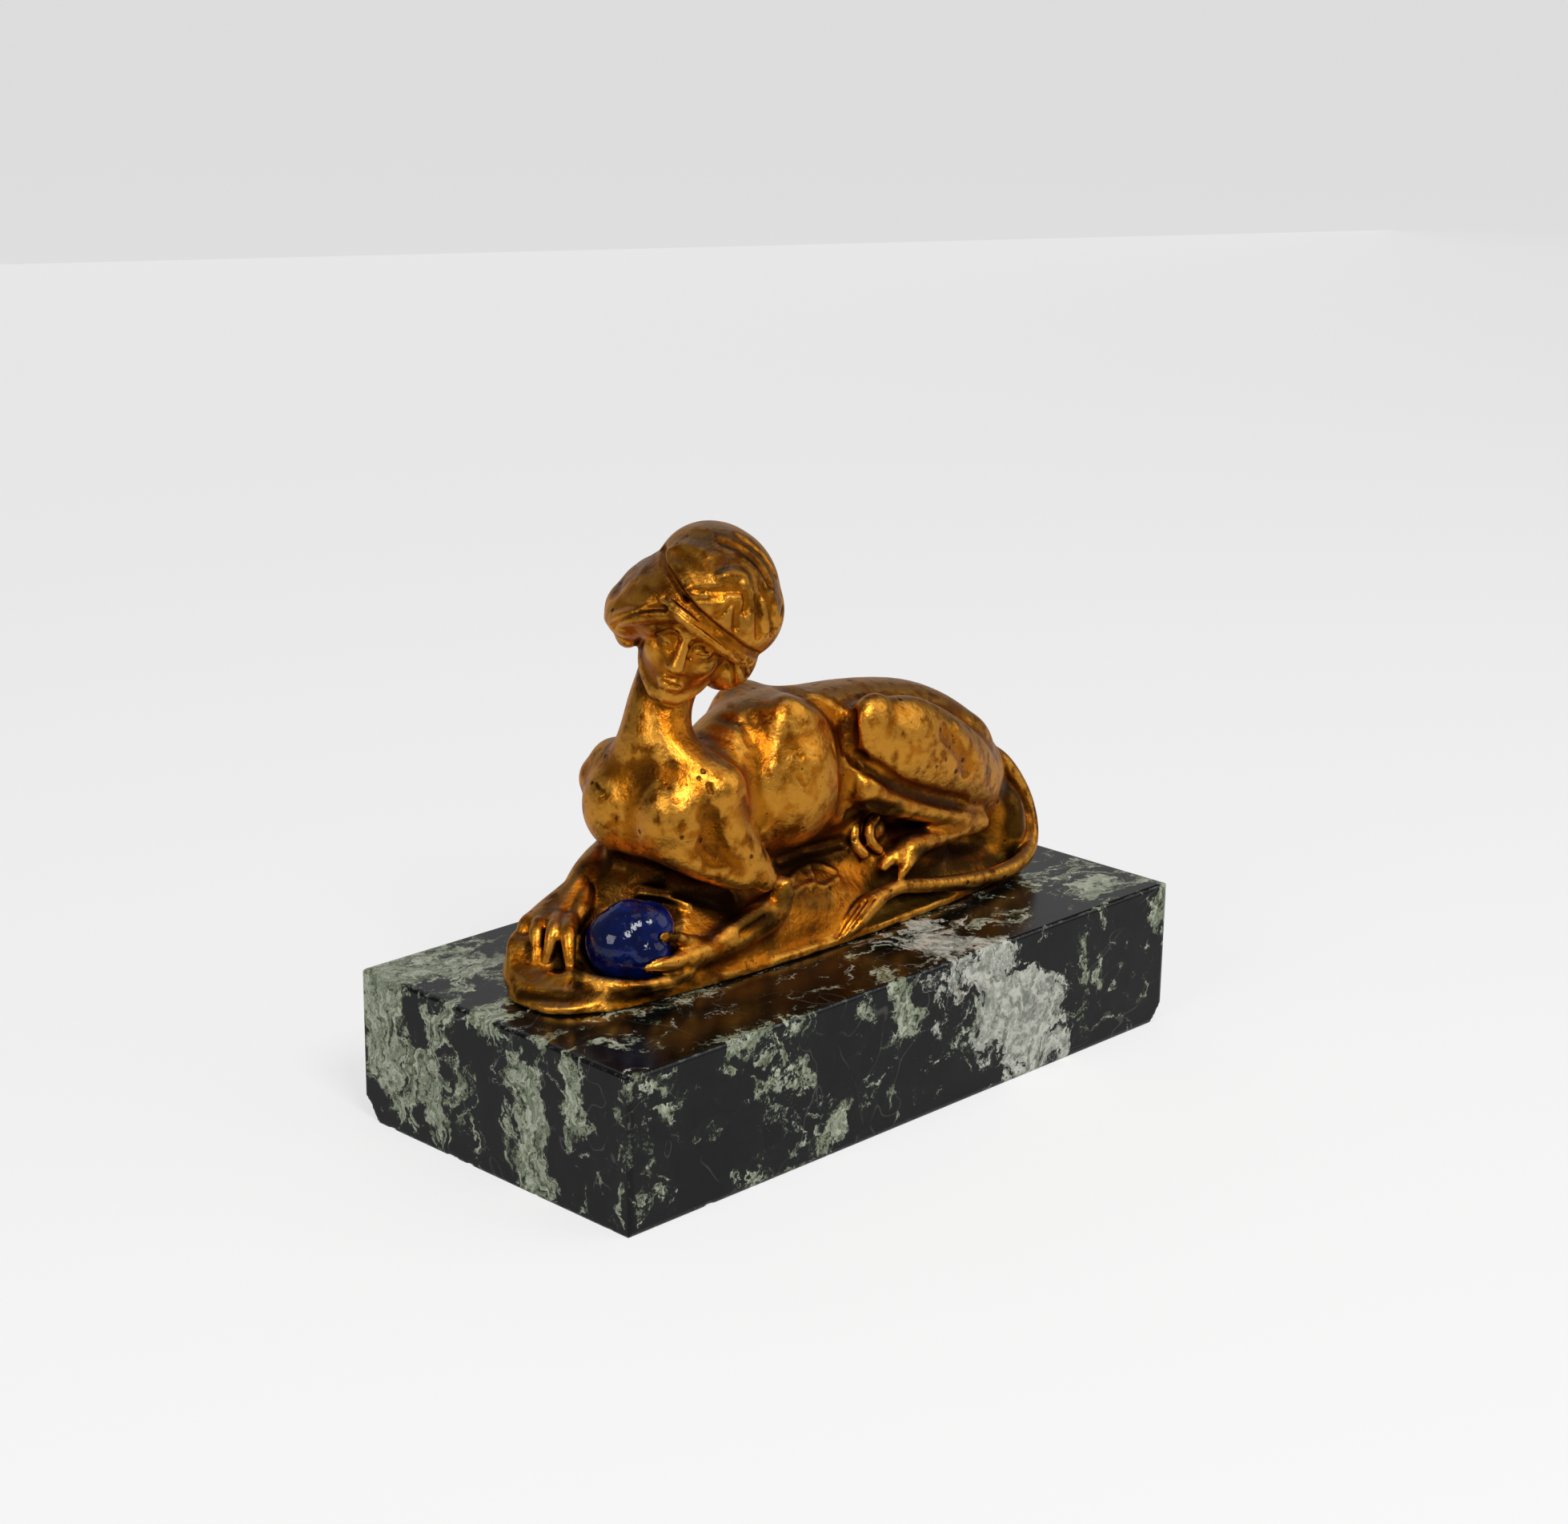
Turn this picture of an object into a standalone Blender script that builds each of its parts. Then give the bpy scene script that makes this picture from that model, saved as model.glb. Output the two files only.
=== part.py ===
# Reclining sphinx with a turban, cast with its ground, on a marble plinth, a round stone in its hands.
# The sphinx and its stone are free forms, laid out for a casting 105.3 mm long with z from the plinth's top.
# They take their real size from FIGURE_LENGTH when they are finished.
import math

import bmesh
import bpy
import numpy as np
from mathutils import Euler, Matrix, Vector

MM = 0.001

# Plinth: a sawn and polished marble block.
PLINTH_LENGTH = 120.0
PLINTH_WIDTH = 59.0
PLINTH_HEIGHT = 24.0
PLINTH_EDGE = 0.4
# Chips on the bottom corners: side in x, side in y, then size up the edge, along x and along y.
CHIPS = ((-1, -1, 4.6, 2.9, 3.6), (1, 1, 3.9, 2.9, 2.4))

# Bronze: the casting stands this far off the marble, and the stone this far off its seat.
TOUCH_GAP = 0.3
FIGURE_LENGTH = 105.3
LAID_OUT_LENGTH = 105.3
SHARE = FIGURE_LENGTH / LAID_OUT_LENGTH

# The casting's foot, in the laid-out millimetres.
PAD_HALF_WIDTH = 13.3
PAD_FRONT = -53.3
PAD_REAR = PAD_FRONT + LAID_OUT_LENGTH
PAD_LIP = 1.4
PAD_CORNERS = 72

# Stone held between the hands.
# The seat grows by a little more than the gap, because its flat faces cut its corners.
SEAT_GROWTH = 1.15
STONE_LOBES = (((4.2, -38.0, 7.4), 5.5), ((6.4, -35.2, 9.6), 4.1),
               ((7.0, -36.6, 6.2), 4.2), ((4.6, -36.6, 8.8), 5.0))

# Clay: voxel size, triangle budgets.
CLAY_VOXEL = 0.62
FIGURE_TRIANGLES = 8600
STONE_TRIANGLES = 500

# Grooves and ridges pressed into the clay: rows of x, y, z, then reach and height.
NEAR_STROKES = (
    (((10.2, 6.9, 26.7), (11.3, 8.5, 25.3), (11.9, 11.7, 23.1), (12.1, 16.1, 20.7), (11.7, 25.7, 17.0)),
     2.0, -1.3),
    (((8.6, 5.2, 33.9), (9.4, 5.2, 31.5), (9.8, 5.9, 28.9), (10.1, 6.7, 26.9)), 1.9, -1.0),
    (((12.6, 23.4, 30.5), (12.7, 27.0, 27.9), (12.3, 31.2, 23.1)), 1.7, 0.45),
    (((13.2, 22.9, 28.8), (13.2, 26.9, 25.0), (12.8, 29.7, 21.4)), 1.6, -0.5),
    (((7.1, 42.1, 12.8), (10.4, 34.6, 14.3), (11.2, 29.6, 16.0)), 1.6, -0.9),
)
STROKES = (
    (((2.4, 6.9, 37.1), (6.2, 5.3, 34.6), (8.6, 4.1, 30.9), (9.3, 4.3, 26.5), (9.5, 5.0, 21.9)), 4.0, -1.0),
    (((12.9, -19.0, 11.6), (13.7, -16.9, 11.1)), 1.5, -0.9),
    (((11.3, -28.3, 25.0), (10.8, -26.9, 22.9), (11.1, -26.4, 20.4)), 2.8, -1.0),
    (((0.0, -33.9, 30.5), (0.6, -34.9, 26.6), (0.8, -34.8, 22.3)), 2.6, -0.6),
    (((10.4, 14.3, 10.8), (11.0, 15.5, 11.5), (11.9, 16.6, 12.0)), 1.0, -0.9),
    (((13.0, -25.9, 27.0), (13.7, -24.2, 26.0)), 2.2, -0.5),
)

# Head: centre, the way the face looks and how far the crown leans to the head's left.
HEAD_CENTRE = (2.3, -22.9, 52.0)
HEAD_YAW = 40.0
HEAD_PITCH = -7.0
HEAD_LEAN = 20.0


def clear_scene():
    for thing in list(bpy.data.objects):
        bpy.data.objects.remove(thing, do_unlink=True)


def material(name, colour, metallic, roughness):
    made = bpy.data.materials.new(name)
    made.use_nodes = True
    shader = made.node_tree.nodes["Principled BSDF"]
    shader.inputs["Base Color"].default_value = (*colour, 1.0)
    shader.inputs["Metallic"].default_value = metallic
    shader.inputs["Roughness"].default_value = roughness
    return made


def curve_through(rows, step):
    """Catmull-Rom rows between the given rows, about one step apart."""
    rows = np.array(rows, float)
    ends = np.vstack([2 * rows[0] - rows[1], rows, 2 * rows[-1] - rows[-2]])
    made = []
    for i in range(1, len(ends) - 2):
        a, b, c, d = ends[i - 1], ends[i], ends[i + 1], ends[i + 2]
        count = max(2, int(np.linalg.norm((c - b)[:3]) / step))
        for t in np.linspace(0.0, 1.0, count, endpoint=False):
            made.append(0.5 * (2 * b + (c - a) * t + (2 * a - 5 * b + 4 * c - d) * t * t
                               + (3 * b - a - 3 * c + d) * t ** 3))
    made.append(rows[-1])
    return np.array(made)


def limb(bm, rows, lift=(0, 0, 1), segments=20):
    """A closed round-ended tube through rows of x, y, z, half width, half height."""
    path = curve_through([r if len(r) == 5 else (*r[:4], r[3]) for r in rows], 1.0)
    places = [Vector(p[:3]) for p in path]
    ways = [(places[min(i + 1, len(places) - 1)] - places[max(i - 1, 0)]).normalized()
            for i in range(len(places))]
    rings = []
    for angle in (82, 62, 40, 20):
        a = math.radians(angle)
        mean = 0.5 * (path[0][3] + path[0][4])
        rings.append((places[0] - ways[0] * mean * math.sin(a), ways[0],
                      path[0][3] * math.cos(a), path[0][4] * math.cos(a)))
    for place, way, row in zip(places, ways, path):
        rings.append((place, way, max(row[3], 0.05), max(row[4], 0.05)))
    for angle in (20, 40, 62, 82):
        a = math.radians(angle)
        mean = 0.5 * (path[-1][3] + path[-1][4])
        rings.append((places[-1] + ways[-1] * mean * math.sin(a), ways[-1],
                      path[-1][3] * math.cos(a), path[-1][4] * math.cos(a)))
    loops = []
    for place, way, wide, tall in rings:
        up = Vector(lift) - way * way.dot(Vector(lift))
        up.normalize()
        side = way.cross(up)
        frame = Matrix((side * wide, up * tall, way)).transposed().to_4x4()
        frame.translation = place
        verts = bmesh.ops.create_circle(bm, segments=segments, radius=1.0, matrix=frame)["verts"]
        loops.append(verts)
    for near, far in zip(loops, loops[1:]):
        for k in range(segments):
            bm.faces.new((near[k], near[(k + 1) % segments], far[(k + 1) % segments], far[k]))
    bm.faces.new(list(reversed(loops[0])))
    bm.faces.new(loops[-1])


def ball(bm, centre, radii, turn=(0, 0, 0)):
    """An ellipsoid with half axes radii, turned by degrees about x, y and z."""
    spin = Euler([math.radians(a) for a in turn]).to_matrix().to_4x4()
    frame = Matrix.Translation(centre) @ spin @ Matrix.Diagonal((*radii, 1.0))
    bmesh.ops.create_icosphere(bm, subdivisions=3, radius=1.0, matrix=frame)


def clay(name, forms, made=None):
    """Makes an object of closed forms, or adds them to one."""
    bm = bmesh.new()
    for form in forms:
        form(bm)
    bmesh.ops.recalc_face_normals(bm, faces=bm.faces[:])
    if made is None:
        made = bpy.data.objects.new(name, bpy.data.meshes.new(name))
        bpy.context.scene.collection.objects.link(made)
    else:
        bm.from_mesh(made.data)
    bm.to_mesh(made.data)
    bm.free()
    return made


def absorb(made, other):
    """Takes over the mesh of another object."""
    bm = bmesh.new()
    bm.from_mesh(made.data)
    bm.from_mesh(other.data)
    bm.to_mesh(made.data)
    bm.free()
    bpy.data.objects.remove(other, do_unlink=True)
    return made


def bake(made):
    """Keeps what the modifiers of an object make as its own mesh."""
    graph = bpy.context.evaluated_depsgraph_get()
    mesh = bpy.data.meshes.new_from_object(made.evaluated_get(graph))
    made.modifiers.clear()
    made.data = mesh
    return made


def fuse(made, voxel):
    """Melts overlapping forms into one skin."""
    step = made.modifiers.new("fuse", "REMESH")
    step.mode = "VOXEL"
    step.voxel_size = voxel
    return bake(made)


def coordinates(mesh):
    flat = np.empty(len(mesh.vertices) * 3, np.float32)
    mesh.vertices.foreach_get("co", flat)
    return flat.reshape(-1, 3).astype(float)


def write_coordinates(mesh, places):
    mesh.vertices.foreach_set("co", places.astype(np.float32).ravel())
    mesh.update()


def normals(mesh):
    flat = np.empty(len(mesh.vertices) * 3, np.float32)
    mesh.vertex_normals.foreach_get("vector", flat)
    return flat.reshape(-1, 3).astype(float)


def soften(made, rounds, fill=0.9, shave=0.15):
    """Fills hollows between forms and only lightly rounds what stands out."""
    mesh = made.data
    ends = np.empty(len(mesh.edges) * 2, np.int32)
    mesh.edges.foreach_get("vertices", ends)
    a, b = ends.reshape(-1, 2).T
    total = len(mesh.vertices)
    degree = np.bincount(a, minlength=total) + np.bincount(b, minlength=total)
    for _ in range(rounds):
        places = coordinates(mesh)
        facing = normals(mesh)
        mean = np.empty_like(places)
        for axis in range(3):
            pulls = np.bincount(a, places[b, axis], total) + np.bincount(b, places[a, axis], total)
            mean[:, axis] = pulls / degree
        pull = mean - places
        out = np.sum(pull * facing, axis=1, keepdims=True)
        along = pull - out * facing
        places += along * 0.5 + facing * np.where(out > 0, out * fill, out * shave)
        write_coordinates(mesh, places)


def stroke(made, rows, width, height):
    """Raises or presses the skin along a line; rows are x, y, z."""
    mesh = made.data
    places = coordinates(mesh)
    facing = normals(mesh)
    line = curve_through([(*r, 0, 0) for r in rows], 0.4)[:, :3]
    low = line.min(axis=0) - width
    high = line.max(axis=0) + width
    near = np.where(np.all((places > low) & (places < high), axis=1))[0]
    gap = np.full(len(near), width)
    for point in line:
        gap = np.minimum(gap, np.linalg.norm(places[near] - point, axis=1))
    weight = np.clip(1.0 - (gap / width) ** 2, 0.0, 1.0) ** 2
    places[near] += facing[near] * (weight * height)[:, None]
    write_coordinates(mesh, places)


def keep_largest(made):
    """Drops loose crumbs and sealed pockets left by melting."""
    bm = bmesh.new()
    bm.from_mesh(made.data)
    seen = set()
    groups = []
    for start in bm.verts:
        if start in seen:
            continue
        group = [start]
        seen.add(start)
        for vert in group:
            for edge in vert.link_edges:
                other = edge.other_vert(vert)
                if other not in seen:
                    seen.add(other)
                    group.append(other)
        groups.append(group)
    groups.sort(key=len)
    for group in groups[:-1]:
        bmesh.ops.delete(bm, geom=group, context="VERTS")
    bm.to_mesh(made.data)
    bm.free()


def thin(made, triangles):
    """Spends the triangle budget where the skin bends most."""
    made.modifiers.new("triangles", "TRIANGULATE")
    bake(made)
    step = made.modifiers.new("thin", "DECIMATE")
    step.ratio = min(1.0, triangles / len(made.data.polygons))
    bake(made)


def cut_level(made, height):
    """Slices the underside flat and closes it."""
    bm = bmesh.new()
    bm.from_mesh(made.data)
    geometry = bm.verts[:] + bm.edges[:] + bm.faces[:]
    cut = bmesh.ops.bisect_plane(bm, geom=geometry, plane_co=(0, 0, height), plane_no=(0, 0, 1),
                                 clear_inner=True)
    rim = [e for e in cut["geom_cut"] if isinstance(e, bmesh.types.BMEdge)]
    bmesh.ops.holes_fill(bm, edges=rim)
    bmesh.ops.triangulate(bm, faces=bm.faces[:])
    bmesh.ops.recalc_face_normals(bm, faces=bm.faces[:])
    bm.to_mesh(made.data)
    bm.free()


def finish(made, lift, share, look):
    """Turns laid-out millimetres over the plinth's top into metres over its underside."""
    made.data.transform(Matrix.Scale(MM, 4) @ Matrix.Translation((0, 0, lift)) @ Matrix.Scale(share, 4))
    made.data.materials.clear()
    made.data.materials.append(look)
    for polygon in made.data.polygons:
        polygon.use_smooth = False


# Ground

def ground(bm):
    limb(bm, [(0, -43, -1.5, 11.2, 5.6), (0, -36, -1, 11.6, 7.2), (0, -30, -1, 12.0, 12.4),
              (0, -24, -1, 12.2, 14.6),
              (0, -10, -1, 12.3, 14.8), (0, 2, -1, 12.4, 13.6), (0, 14, -1, 12.2, 9.5),
              (0, 30, -1, 11.6, 8.0),
              (0, 41, -1, 10.2, 6.6)])
    ball(bm, (-5.6, -36.0, 3.0), (6.0, 10.0, 8.4))
    ball(bm, (-4.6, -43.0, 1.4), (6.6, 7.0, 5.8))
    ball(bm, (-6.4, -47.0, 3.6), (4.0, 2.8, 4.8))
    ball(bm, (-5.5, -28.5, 7.0), (7.5, 8.0, 9.8))
    ball(bm, (0.6, 45.4, 7.0), (6.4, 4.8, 9.0))
    ball(bm, (4.2, 47.4, 6.0), (4.6, 3.8, 8.4))
    ball(bm, (4.6, 21.0, 8.6), (5.6, 11.0, 5.6))
    ball(bm, (-1.5, 9.6, 9.4), (8.6, 9.4, 7.0))


def pad(bm):
    """The casting's thin foot, a blunt oval with a low lip."""
    outline = []
    for i in range(PAD_CORNERS):
        a = 2 * math.pi * i / PAD_CORNERS
        x = PAD_HALF_WIDTH * math.copysign(abs(math.cos(a)) ** 0.62, math.cos(a))
        y = math.copysign(abs(math.sin(a)) ** 0.95, math.sin(a))
        y = 0.5 * (PAD_REAR + PAD_FRONT) + y * 0.5 * (PAD_REAR - PAD_FRONT)
        outline.append((x, y))
    low = [bm.verts.new((x, y, -2.0)) for x, y in outline]
    floor = bm.faces.new(low)
    top = bmesh.ops.extrude_face_region(bm, geom=[floor])["geom"]
    rise = [v for v in top if isinstance(v, bmesh.types.BMVert)]
    bmesh.ops.translate(bm, verts=rise, vec=(0, 0, 2.0 + PAD_LIP))


def front_rim(bm):
    """The raised edge that runs round the hands and the stone."""
    limb(bm, [(-9.6, -43.0, 6.6, 0.7), (-9.4, -46.0, 7.4, 0.75), (-8.4, -48.4, 7.0, 0.8),
              (-6.8, -50.0, 4.6, 0.85),
              (-4.6, -50.4, 2.7, 0.95), (-2.0, -49.6, 2.8, 1.0), (0.4, -48.6, 3.6, 1.0),
              (2.6, -47.6, 3.6, 0.9)])
    limb(bm, [(2.6, -46.6, 4.6, 0.9), (5.8, -45.2, 3.8, 1.1), (8.6, -43.0, 3.2, 1.2), (10.8, -40.6, 3.2, 1.1),
              (11.9, -38.0, 2.8, 0.9)])


# Lioness

def torso(bm):
    limb(bm, [(0, -18, 20.4, 8.6, 10.4), (0, -8, 25.2, 9.8, 13.2), (0, 4, 25.4, 9.4, 12.6),
              (0, 15, 25.0, 8.4, 12.0),
              (0, 25, 22.8, 8.4, 12.0), (0, 34, 19.0, 8.4, 11.2), (0, 40, 15.0, 7.8, 9.6)], segments=28)
    for side in (1, -1):
        ball(bm, (side * 4.2, -4.6, 31.4), (4.6, 7.4, 8.2), (4, side * 10, 0))
        ball(bm, (side * 4.8, -4.0, 25.4), (6.7, 9.4, 10.6), (-6, 0, 0))
        ball(bm, (side * 4.6, 35.0, 20.8), (3.6, 9.0, 8.0), (-32, 0, 0))


def hind_leg(bm, side, spread, drop):
    def x(value):
        return side * (value - spread)
    ball(bm, (x(8.8), 10.4, 32.4 - drop), (3.0, 4.6, 5.0), (20, 0, 0))
    limb(bm, [(x(8.6), 10.6, 30.8 - drop, 3.4, 5.8), (x(9.2), 16.0, 28.6 - drop, 4.2, 7.4),
              (x(9.0), 24.0, 24.6, 4.4, 7.4),
              (x(8.4), 31.6, 20.6, 4.0, 6.4), (x(7.6), 37.0, 17.4, 3.4, 4.8)], lift=(0, 0.4, 0.9))
    limb(bm, [(x(9.0), 8.4, 22.6, 2.6, 3.6), (x(9.6), 14.0, 19.4, 2.3, 2.6), (x(9.8), 22.0, 16.0, 2.1, 2.0),
              (x(9.6), 30.0, 13.2, 1.8, 1.7), (x(9.0), 36.0, 11.2, 1.6, 1.6)], lift=(0, 0.4, 0.9))
    limb(bm, [(x(9.0), 36.4, 10.8, 1.5, 1.6), (x(9.8), 30.0, 10.9, 1.5, 1.4), (x(10.4), 23.4, 11.2, 1.7, 1.4),
              (x(10.8), 18.8, 11.4, 2.0, 1.7)])
    ball(bm, (x(10.6), 17.4, 10.8), (2.4, 2.6, 2.2), (24, 0, 0))
    limb(bm, [(x(9.7), 17.0, 11.0, 1.15), (x(9.6), 14.0, 10.0, 1.15), (x(9.6), 12.6, 8.6, 0.95)])
    limb(bm, [(x(11.7), 17.4, 10.2, 1.15), (x(12.1), 15.0, 9.0, 1.05), (x(12.1), 13.8, 7.6, 0.9)])


def other_paw(bm):
    ball(bm, (5.4, 13.4, 13.6), (2.4, 3.0, 2.8), (20, 0, 0))
    limb(bm, [(6.8, 13.4, 16.2, 0.9), (7.2, 11.6, 14.8, 0.9), (7.8, 11.4, 12.8, 0.9), (8.4, 12.6, 11.4, 0.8)])
    limb(bm, [(4.4, 12.0, 16.0, 1.0), (5.6, 9.8, 14.8, 1.0), (6.4, 9.2, 12.6, 1.0), (7.6, 10.0, 11.0, 0.9)])


def tail(bm):
    limb(bm, [(1.0, 43.5, 20.0, 2.2), (2.6, 48.6, 17.0, 1.7), (4.6, 51.6, 12.0, 1.4), (6.4, 52.0, 7.2, 1.35),
              (8.8, 49.2, 3.8, 1.35), (10.8, 44.0, 2.4, 1.35), (11.6, 36.6, 2.3, 1.3),
              (11.8, 28.0, 3.2, 1.25),
              (11.8, 20.0, 4.6, 1.25), (11.9, 14.0, 5.8, 1.25), (12.0, 9.6, 5.4, 1.2)])
    limb(bm, [(12.0, 9.6, 5.4, 1.3), (12.1, 6.4, 4.4, 1.8, 1.7), (12.3, 3.0, 2.9, 1.9, 1.7),
              (12.6, -0.4, 1.2, 0.8)])


# Bust and arms

def bust(bm):
    limb(bm, [(0.0, -24.6, 20.0, 9.6, 8.0), (0.1, -25.6, 24.0, 10.9, 8.4), (0.2, -26.2, 27.6, 11.4, 7.8),
              (0.2, -26.6, 30.2, 11.4, 6.8), (0.1, -27.0, 32.4, 10.2, 5.8), (0.0, -27.3, 34.2, 7.8, 5.2),
              (-0.4, -27.0, 36.6, 5.7, 5.0), (-1.0, -25.6, 40.6, 4.9, 4.8), (-1.2, -23.9, 43.6, 4.8, 4.8),
              (-1.0, -23.2, 46.0, 4.8, 4.8)], lift=(0.26, -1, 0), segments=28)
    ball(bm, (0.0, -19.5, 24.0), (10.2, 8.0, 9.8))
    ball(bm, (8.8, -23.4, 28.6), (4.4, 4.8, 4.8))
    ball(bm, (-8.4, -27.4, 28.4), (4.8, 5.0, 5.8))
    ball(bm, (4.8, -28.6, 25.0), (6.4, 5.8, 7.4))
    ball(bm, (-4.4, -30.0, 25.0), (6.6, 5.8, 7.4))


def near_arm(bm):
    limb(bm, [(9.6, -23.8, 29.0, 3.2, 3.8), (10.2, -22.8, 24.4, 2.8, 3.6), (11.0, -20.2, 19.4, 2.6, 3.4),
              (11.7, -17.6, 15.6, 2.3, 2.9), (12.0, -16.4, 14.2, 1.9, 2.2)], lift=(0, -1, 0))
    limb(bm, [(6.6, -29.4, 21.4, 3.2, 4.0), (8.6, -25.4, 18.8, 3.0, 3.8),
              (10.6, -20.4, 16.0, 2.6, 3.2)], lift=(0, -1, 0))
    limb(bm, [(11.3, -12.4, 11.6, 2.0, 2.2), (11.2, -13.2, 8.6, 2.2, 2.6), (11.2, -17.6, 7.4, 2.1, 2.9),
              (11.0, -22.8, 6.0, 1.9, 2.5), (10.8, -26.8, 5.0, 1.8, 2.0)])


def near_hand(bm):
    limb(bm, [(10.8, -26.4, 5.0, 1.8, 2.0), (10.6, -29.0, 5.2, 2.2, 2.2), (10.8, -31.4, 5.2, 2.2, 2.1)])
    limb(bm, [(10.2, -28.6, 6.2, 1.4), (10.4, -31.2, 7.6, 1.2), (10.4, -33.6, 8.9, 1.05),
              (10.2, -35.8, 9.6, 0.9)])
    limb(bm, [(10.8, -30.4, 5.6, 1.5), (11.2, -34.0, 5.4, 1.45), (11.0, -37.2, 5.8, 1.3),
              (10.4, -38.8, 5.6, 1.0)])
    limb(bm, [(11.6, -31.6, 3.6, 1.2), (12.0, -35.0, 3.0, 1.1), (11.7, -38.2, 3.2, 1.0),
              (11.2, -39.6, 3.2, 0.8)])


def far_arm(bm):
    limb(bm, [(-10.4, -28.6, 28.0, 3.2, 4.0), (-11.2, -25.2, 21.0, 3.0, 3.8),
              (-11.6, -21.4, 15.6, 2.6, 3.0)], lift=(0, -1, 0))
    limb(bm, [(-11.4, -21.4, 14.6, 2.4, 3.0), (-10.6, -27.0, 15.0, 2.6, 3.0), (-9.0, -32.6, 14.0, 2.4, 2.6),
              (-7.4, -37.0, 12.2, 2.1, 2.1)])


def far_hand(bm):
    limb(bm, [(-7.6, -36.6, 12.2, 2.2, 2.1), (-7.4, -40.6, 10.4, 3.0, 1.9), (-7.0, -43.8, 9.2, 3.2, 1.7)])
    limb(bm, [(-9.2, -43.2, 9.4, 1.15), (-8.7, -45.8, 8.8, 1.0), (-7.6, -47.2, 6.6, 0.8)])
    limb(bm, [(-6.9, -43.6, 9.6, 1.3), (-5.4, -46.2, 8.8, 1.2), (-3.8, -47.8, 5.6, 0.9),
              (-3.2, -48.8, 3.4, 0.75)])
    limb(bm, [(-4.8, -42.6, 10.0, 1.25), (-2.7, -45.4, 9.4, 1.1), (-2.1, -46.8, 6.6, 0.85),
              (-2.5, -47.8, 3.6, 0.7)])
    limb(bm, [(-3.4, -41.4, 9.8, 1.3), (-1.0, -44.0, 9.2, 1.35), (0.6, -45.2, 7.2, 1.05),
              (1.6, -45.9, 4.6, 0.75)])
    limb(bm, [(-6.2, -35.8, 12.2, 1.6), (-4.2, -38.6, 10.6, 1.5), (-3.0, -41.2, 8.8, 1.2)])


# Head, laid out in its own frame: +x its left, -y the way it looks, +z its crown.

def head_frame():
    yaw = math.radians(HEAD_YAW)
    pitch = math.radians(HEAD_PITCH)
    back = -Vector((math.sin(yaw) * math.cos(pitch), -math.cos(yaw) * math.cos(pitch), math.sin(pitch)))
    left = back.cross(Vector((0, 0, 1))).normalized()
    crown = left.cross(back)
    lean = math.radians(HEAD_LEAN)
    near, far = math.cos(lean), math.sin(lean)
    crown, left = crown * near + left * far, left * near - crown * far
    frame = Matrix((left, back, crown)).transposed().to_4x4()
    frame.translation = Vector(HEAD_CENTRE)
    return frame


def skull(bm):
    ball(bm, (0, 0.6, 1.6), (7.4, 8.8, 8.2))
    ball(bm, (0, -2.8, -1.6), (6.0, 6.1, 7.2))
    limb(bm, [(0, 3.0, -3.0, 5.0), (0.6, 3.6, -7.0, 4.8)])
    ball(bm, (0, -7.2, -8.2), (1.9, 1.7, 1.5))
    for side in (1, -1):
        ball(bm, (side * 3.4, -5.2, -2.6), (2.7, 2.8, 2.7))
        limb(bm, [(side * 5.2, 0.4, -3.8, 1.7), (side * 4.4, -3.0, -6.4, 1.6), (side * 1.6, -6.8, -8.6, 1.5)])


def features(bm):
    limb(bm, [(0, -8.2, 1.6, 0.8), (0, -9.1, -1.0, 0.85), (0, -10.0, -3.2, 1.0)])
    limb(bm, [(-2.2, -7.7, -5.8, 0.45), (-0.6, -8.9, -5.4, 0.6), (0.6, -8.9, -5.4, 0.6),
              (2.2, -7.7, -5.8, 0.45)])
    limb(bm, [(-1.7, -7.9, -6.5, 0.4), (0, -8.7, -6.7, 0.7), (1.7, -7.9, -6.5, 0.4)])
    for side in (1, -1):
        ball(bm, (side * 1.0, -8.9, -3.6), (0.85, 0.9, 0.75))
        ball(bm, (side * 3.0, -6.6, 0.4), (1.8, 1.5, 1.1))
        limb(bm, [(side * 1.3, -8.3, 2.2, 0.7), (side * 3.4, -8.0, 3.0, 0.75), (side * 5.4, -6.4, 2.4, 0.7)])
        limb(bm, [(side * 1.5, -7.7, 0.4, 0.35), (side * 3.1, -8.1, 1.2, 0.4), (side * 4.7, -6.8, 0.6, 0.35)])


def turban(bm):
    ball(bm, (1.6, 1.6, 7.4), (9.8, 11.0, 8.4), (0, 22, 0))
    ball(bm, (4.6, 1.6, 5.2), (8.2, 10.6, 7.2), (0, 24, 0))
    ball(bm, (-4.6, 1.2, 3.6), (7.8, 10.4, 6.0), (0, -34, 0))
    ball(bm, (-9.0, 0.4, -0.4), (3.8, 7.4, 3.9), (0, -40, 0))


def wraps(bm):
    limb(bm, [(-5.6, -8.6, 6.2, 0.9), (-2.4, -9.6, 5.4, 1.0), (2.0, -9.6, 3.6, 1.1), (6.4, -8.0, 1.8, 1.15),
              (9.8, -4.4, 0.2, 1.15), (11.4, 0.4, -0.8, 1.0)])
    limb(bm, [(-11.0, 3.0, -1.8, 1.3), (-10.8, -3.0, -1.4, 1.4), (-8.6, -7.4, 1.4, 1.3),
              (-5.2, -9.2, 3.8, 1.0)])


def nape(bm):
    ball(bm, (6.8, 3.4, -3.8), (4.4, 5.2, 5.0), (0, 20, 0))
    ball(bm, (0.0, 6.0, -1.0), (7.4, 5.0, 5.4))
    ball(bm, (-8.2, 0.4, -3.4), (2.2, 4.4, 2.8), (0, -20, 0))


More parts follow.
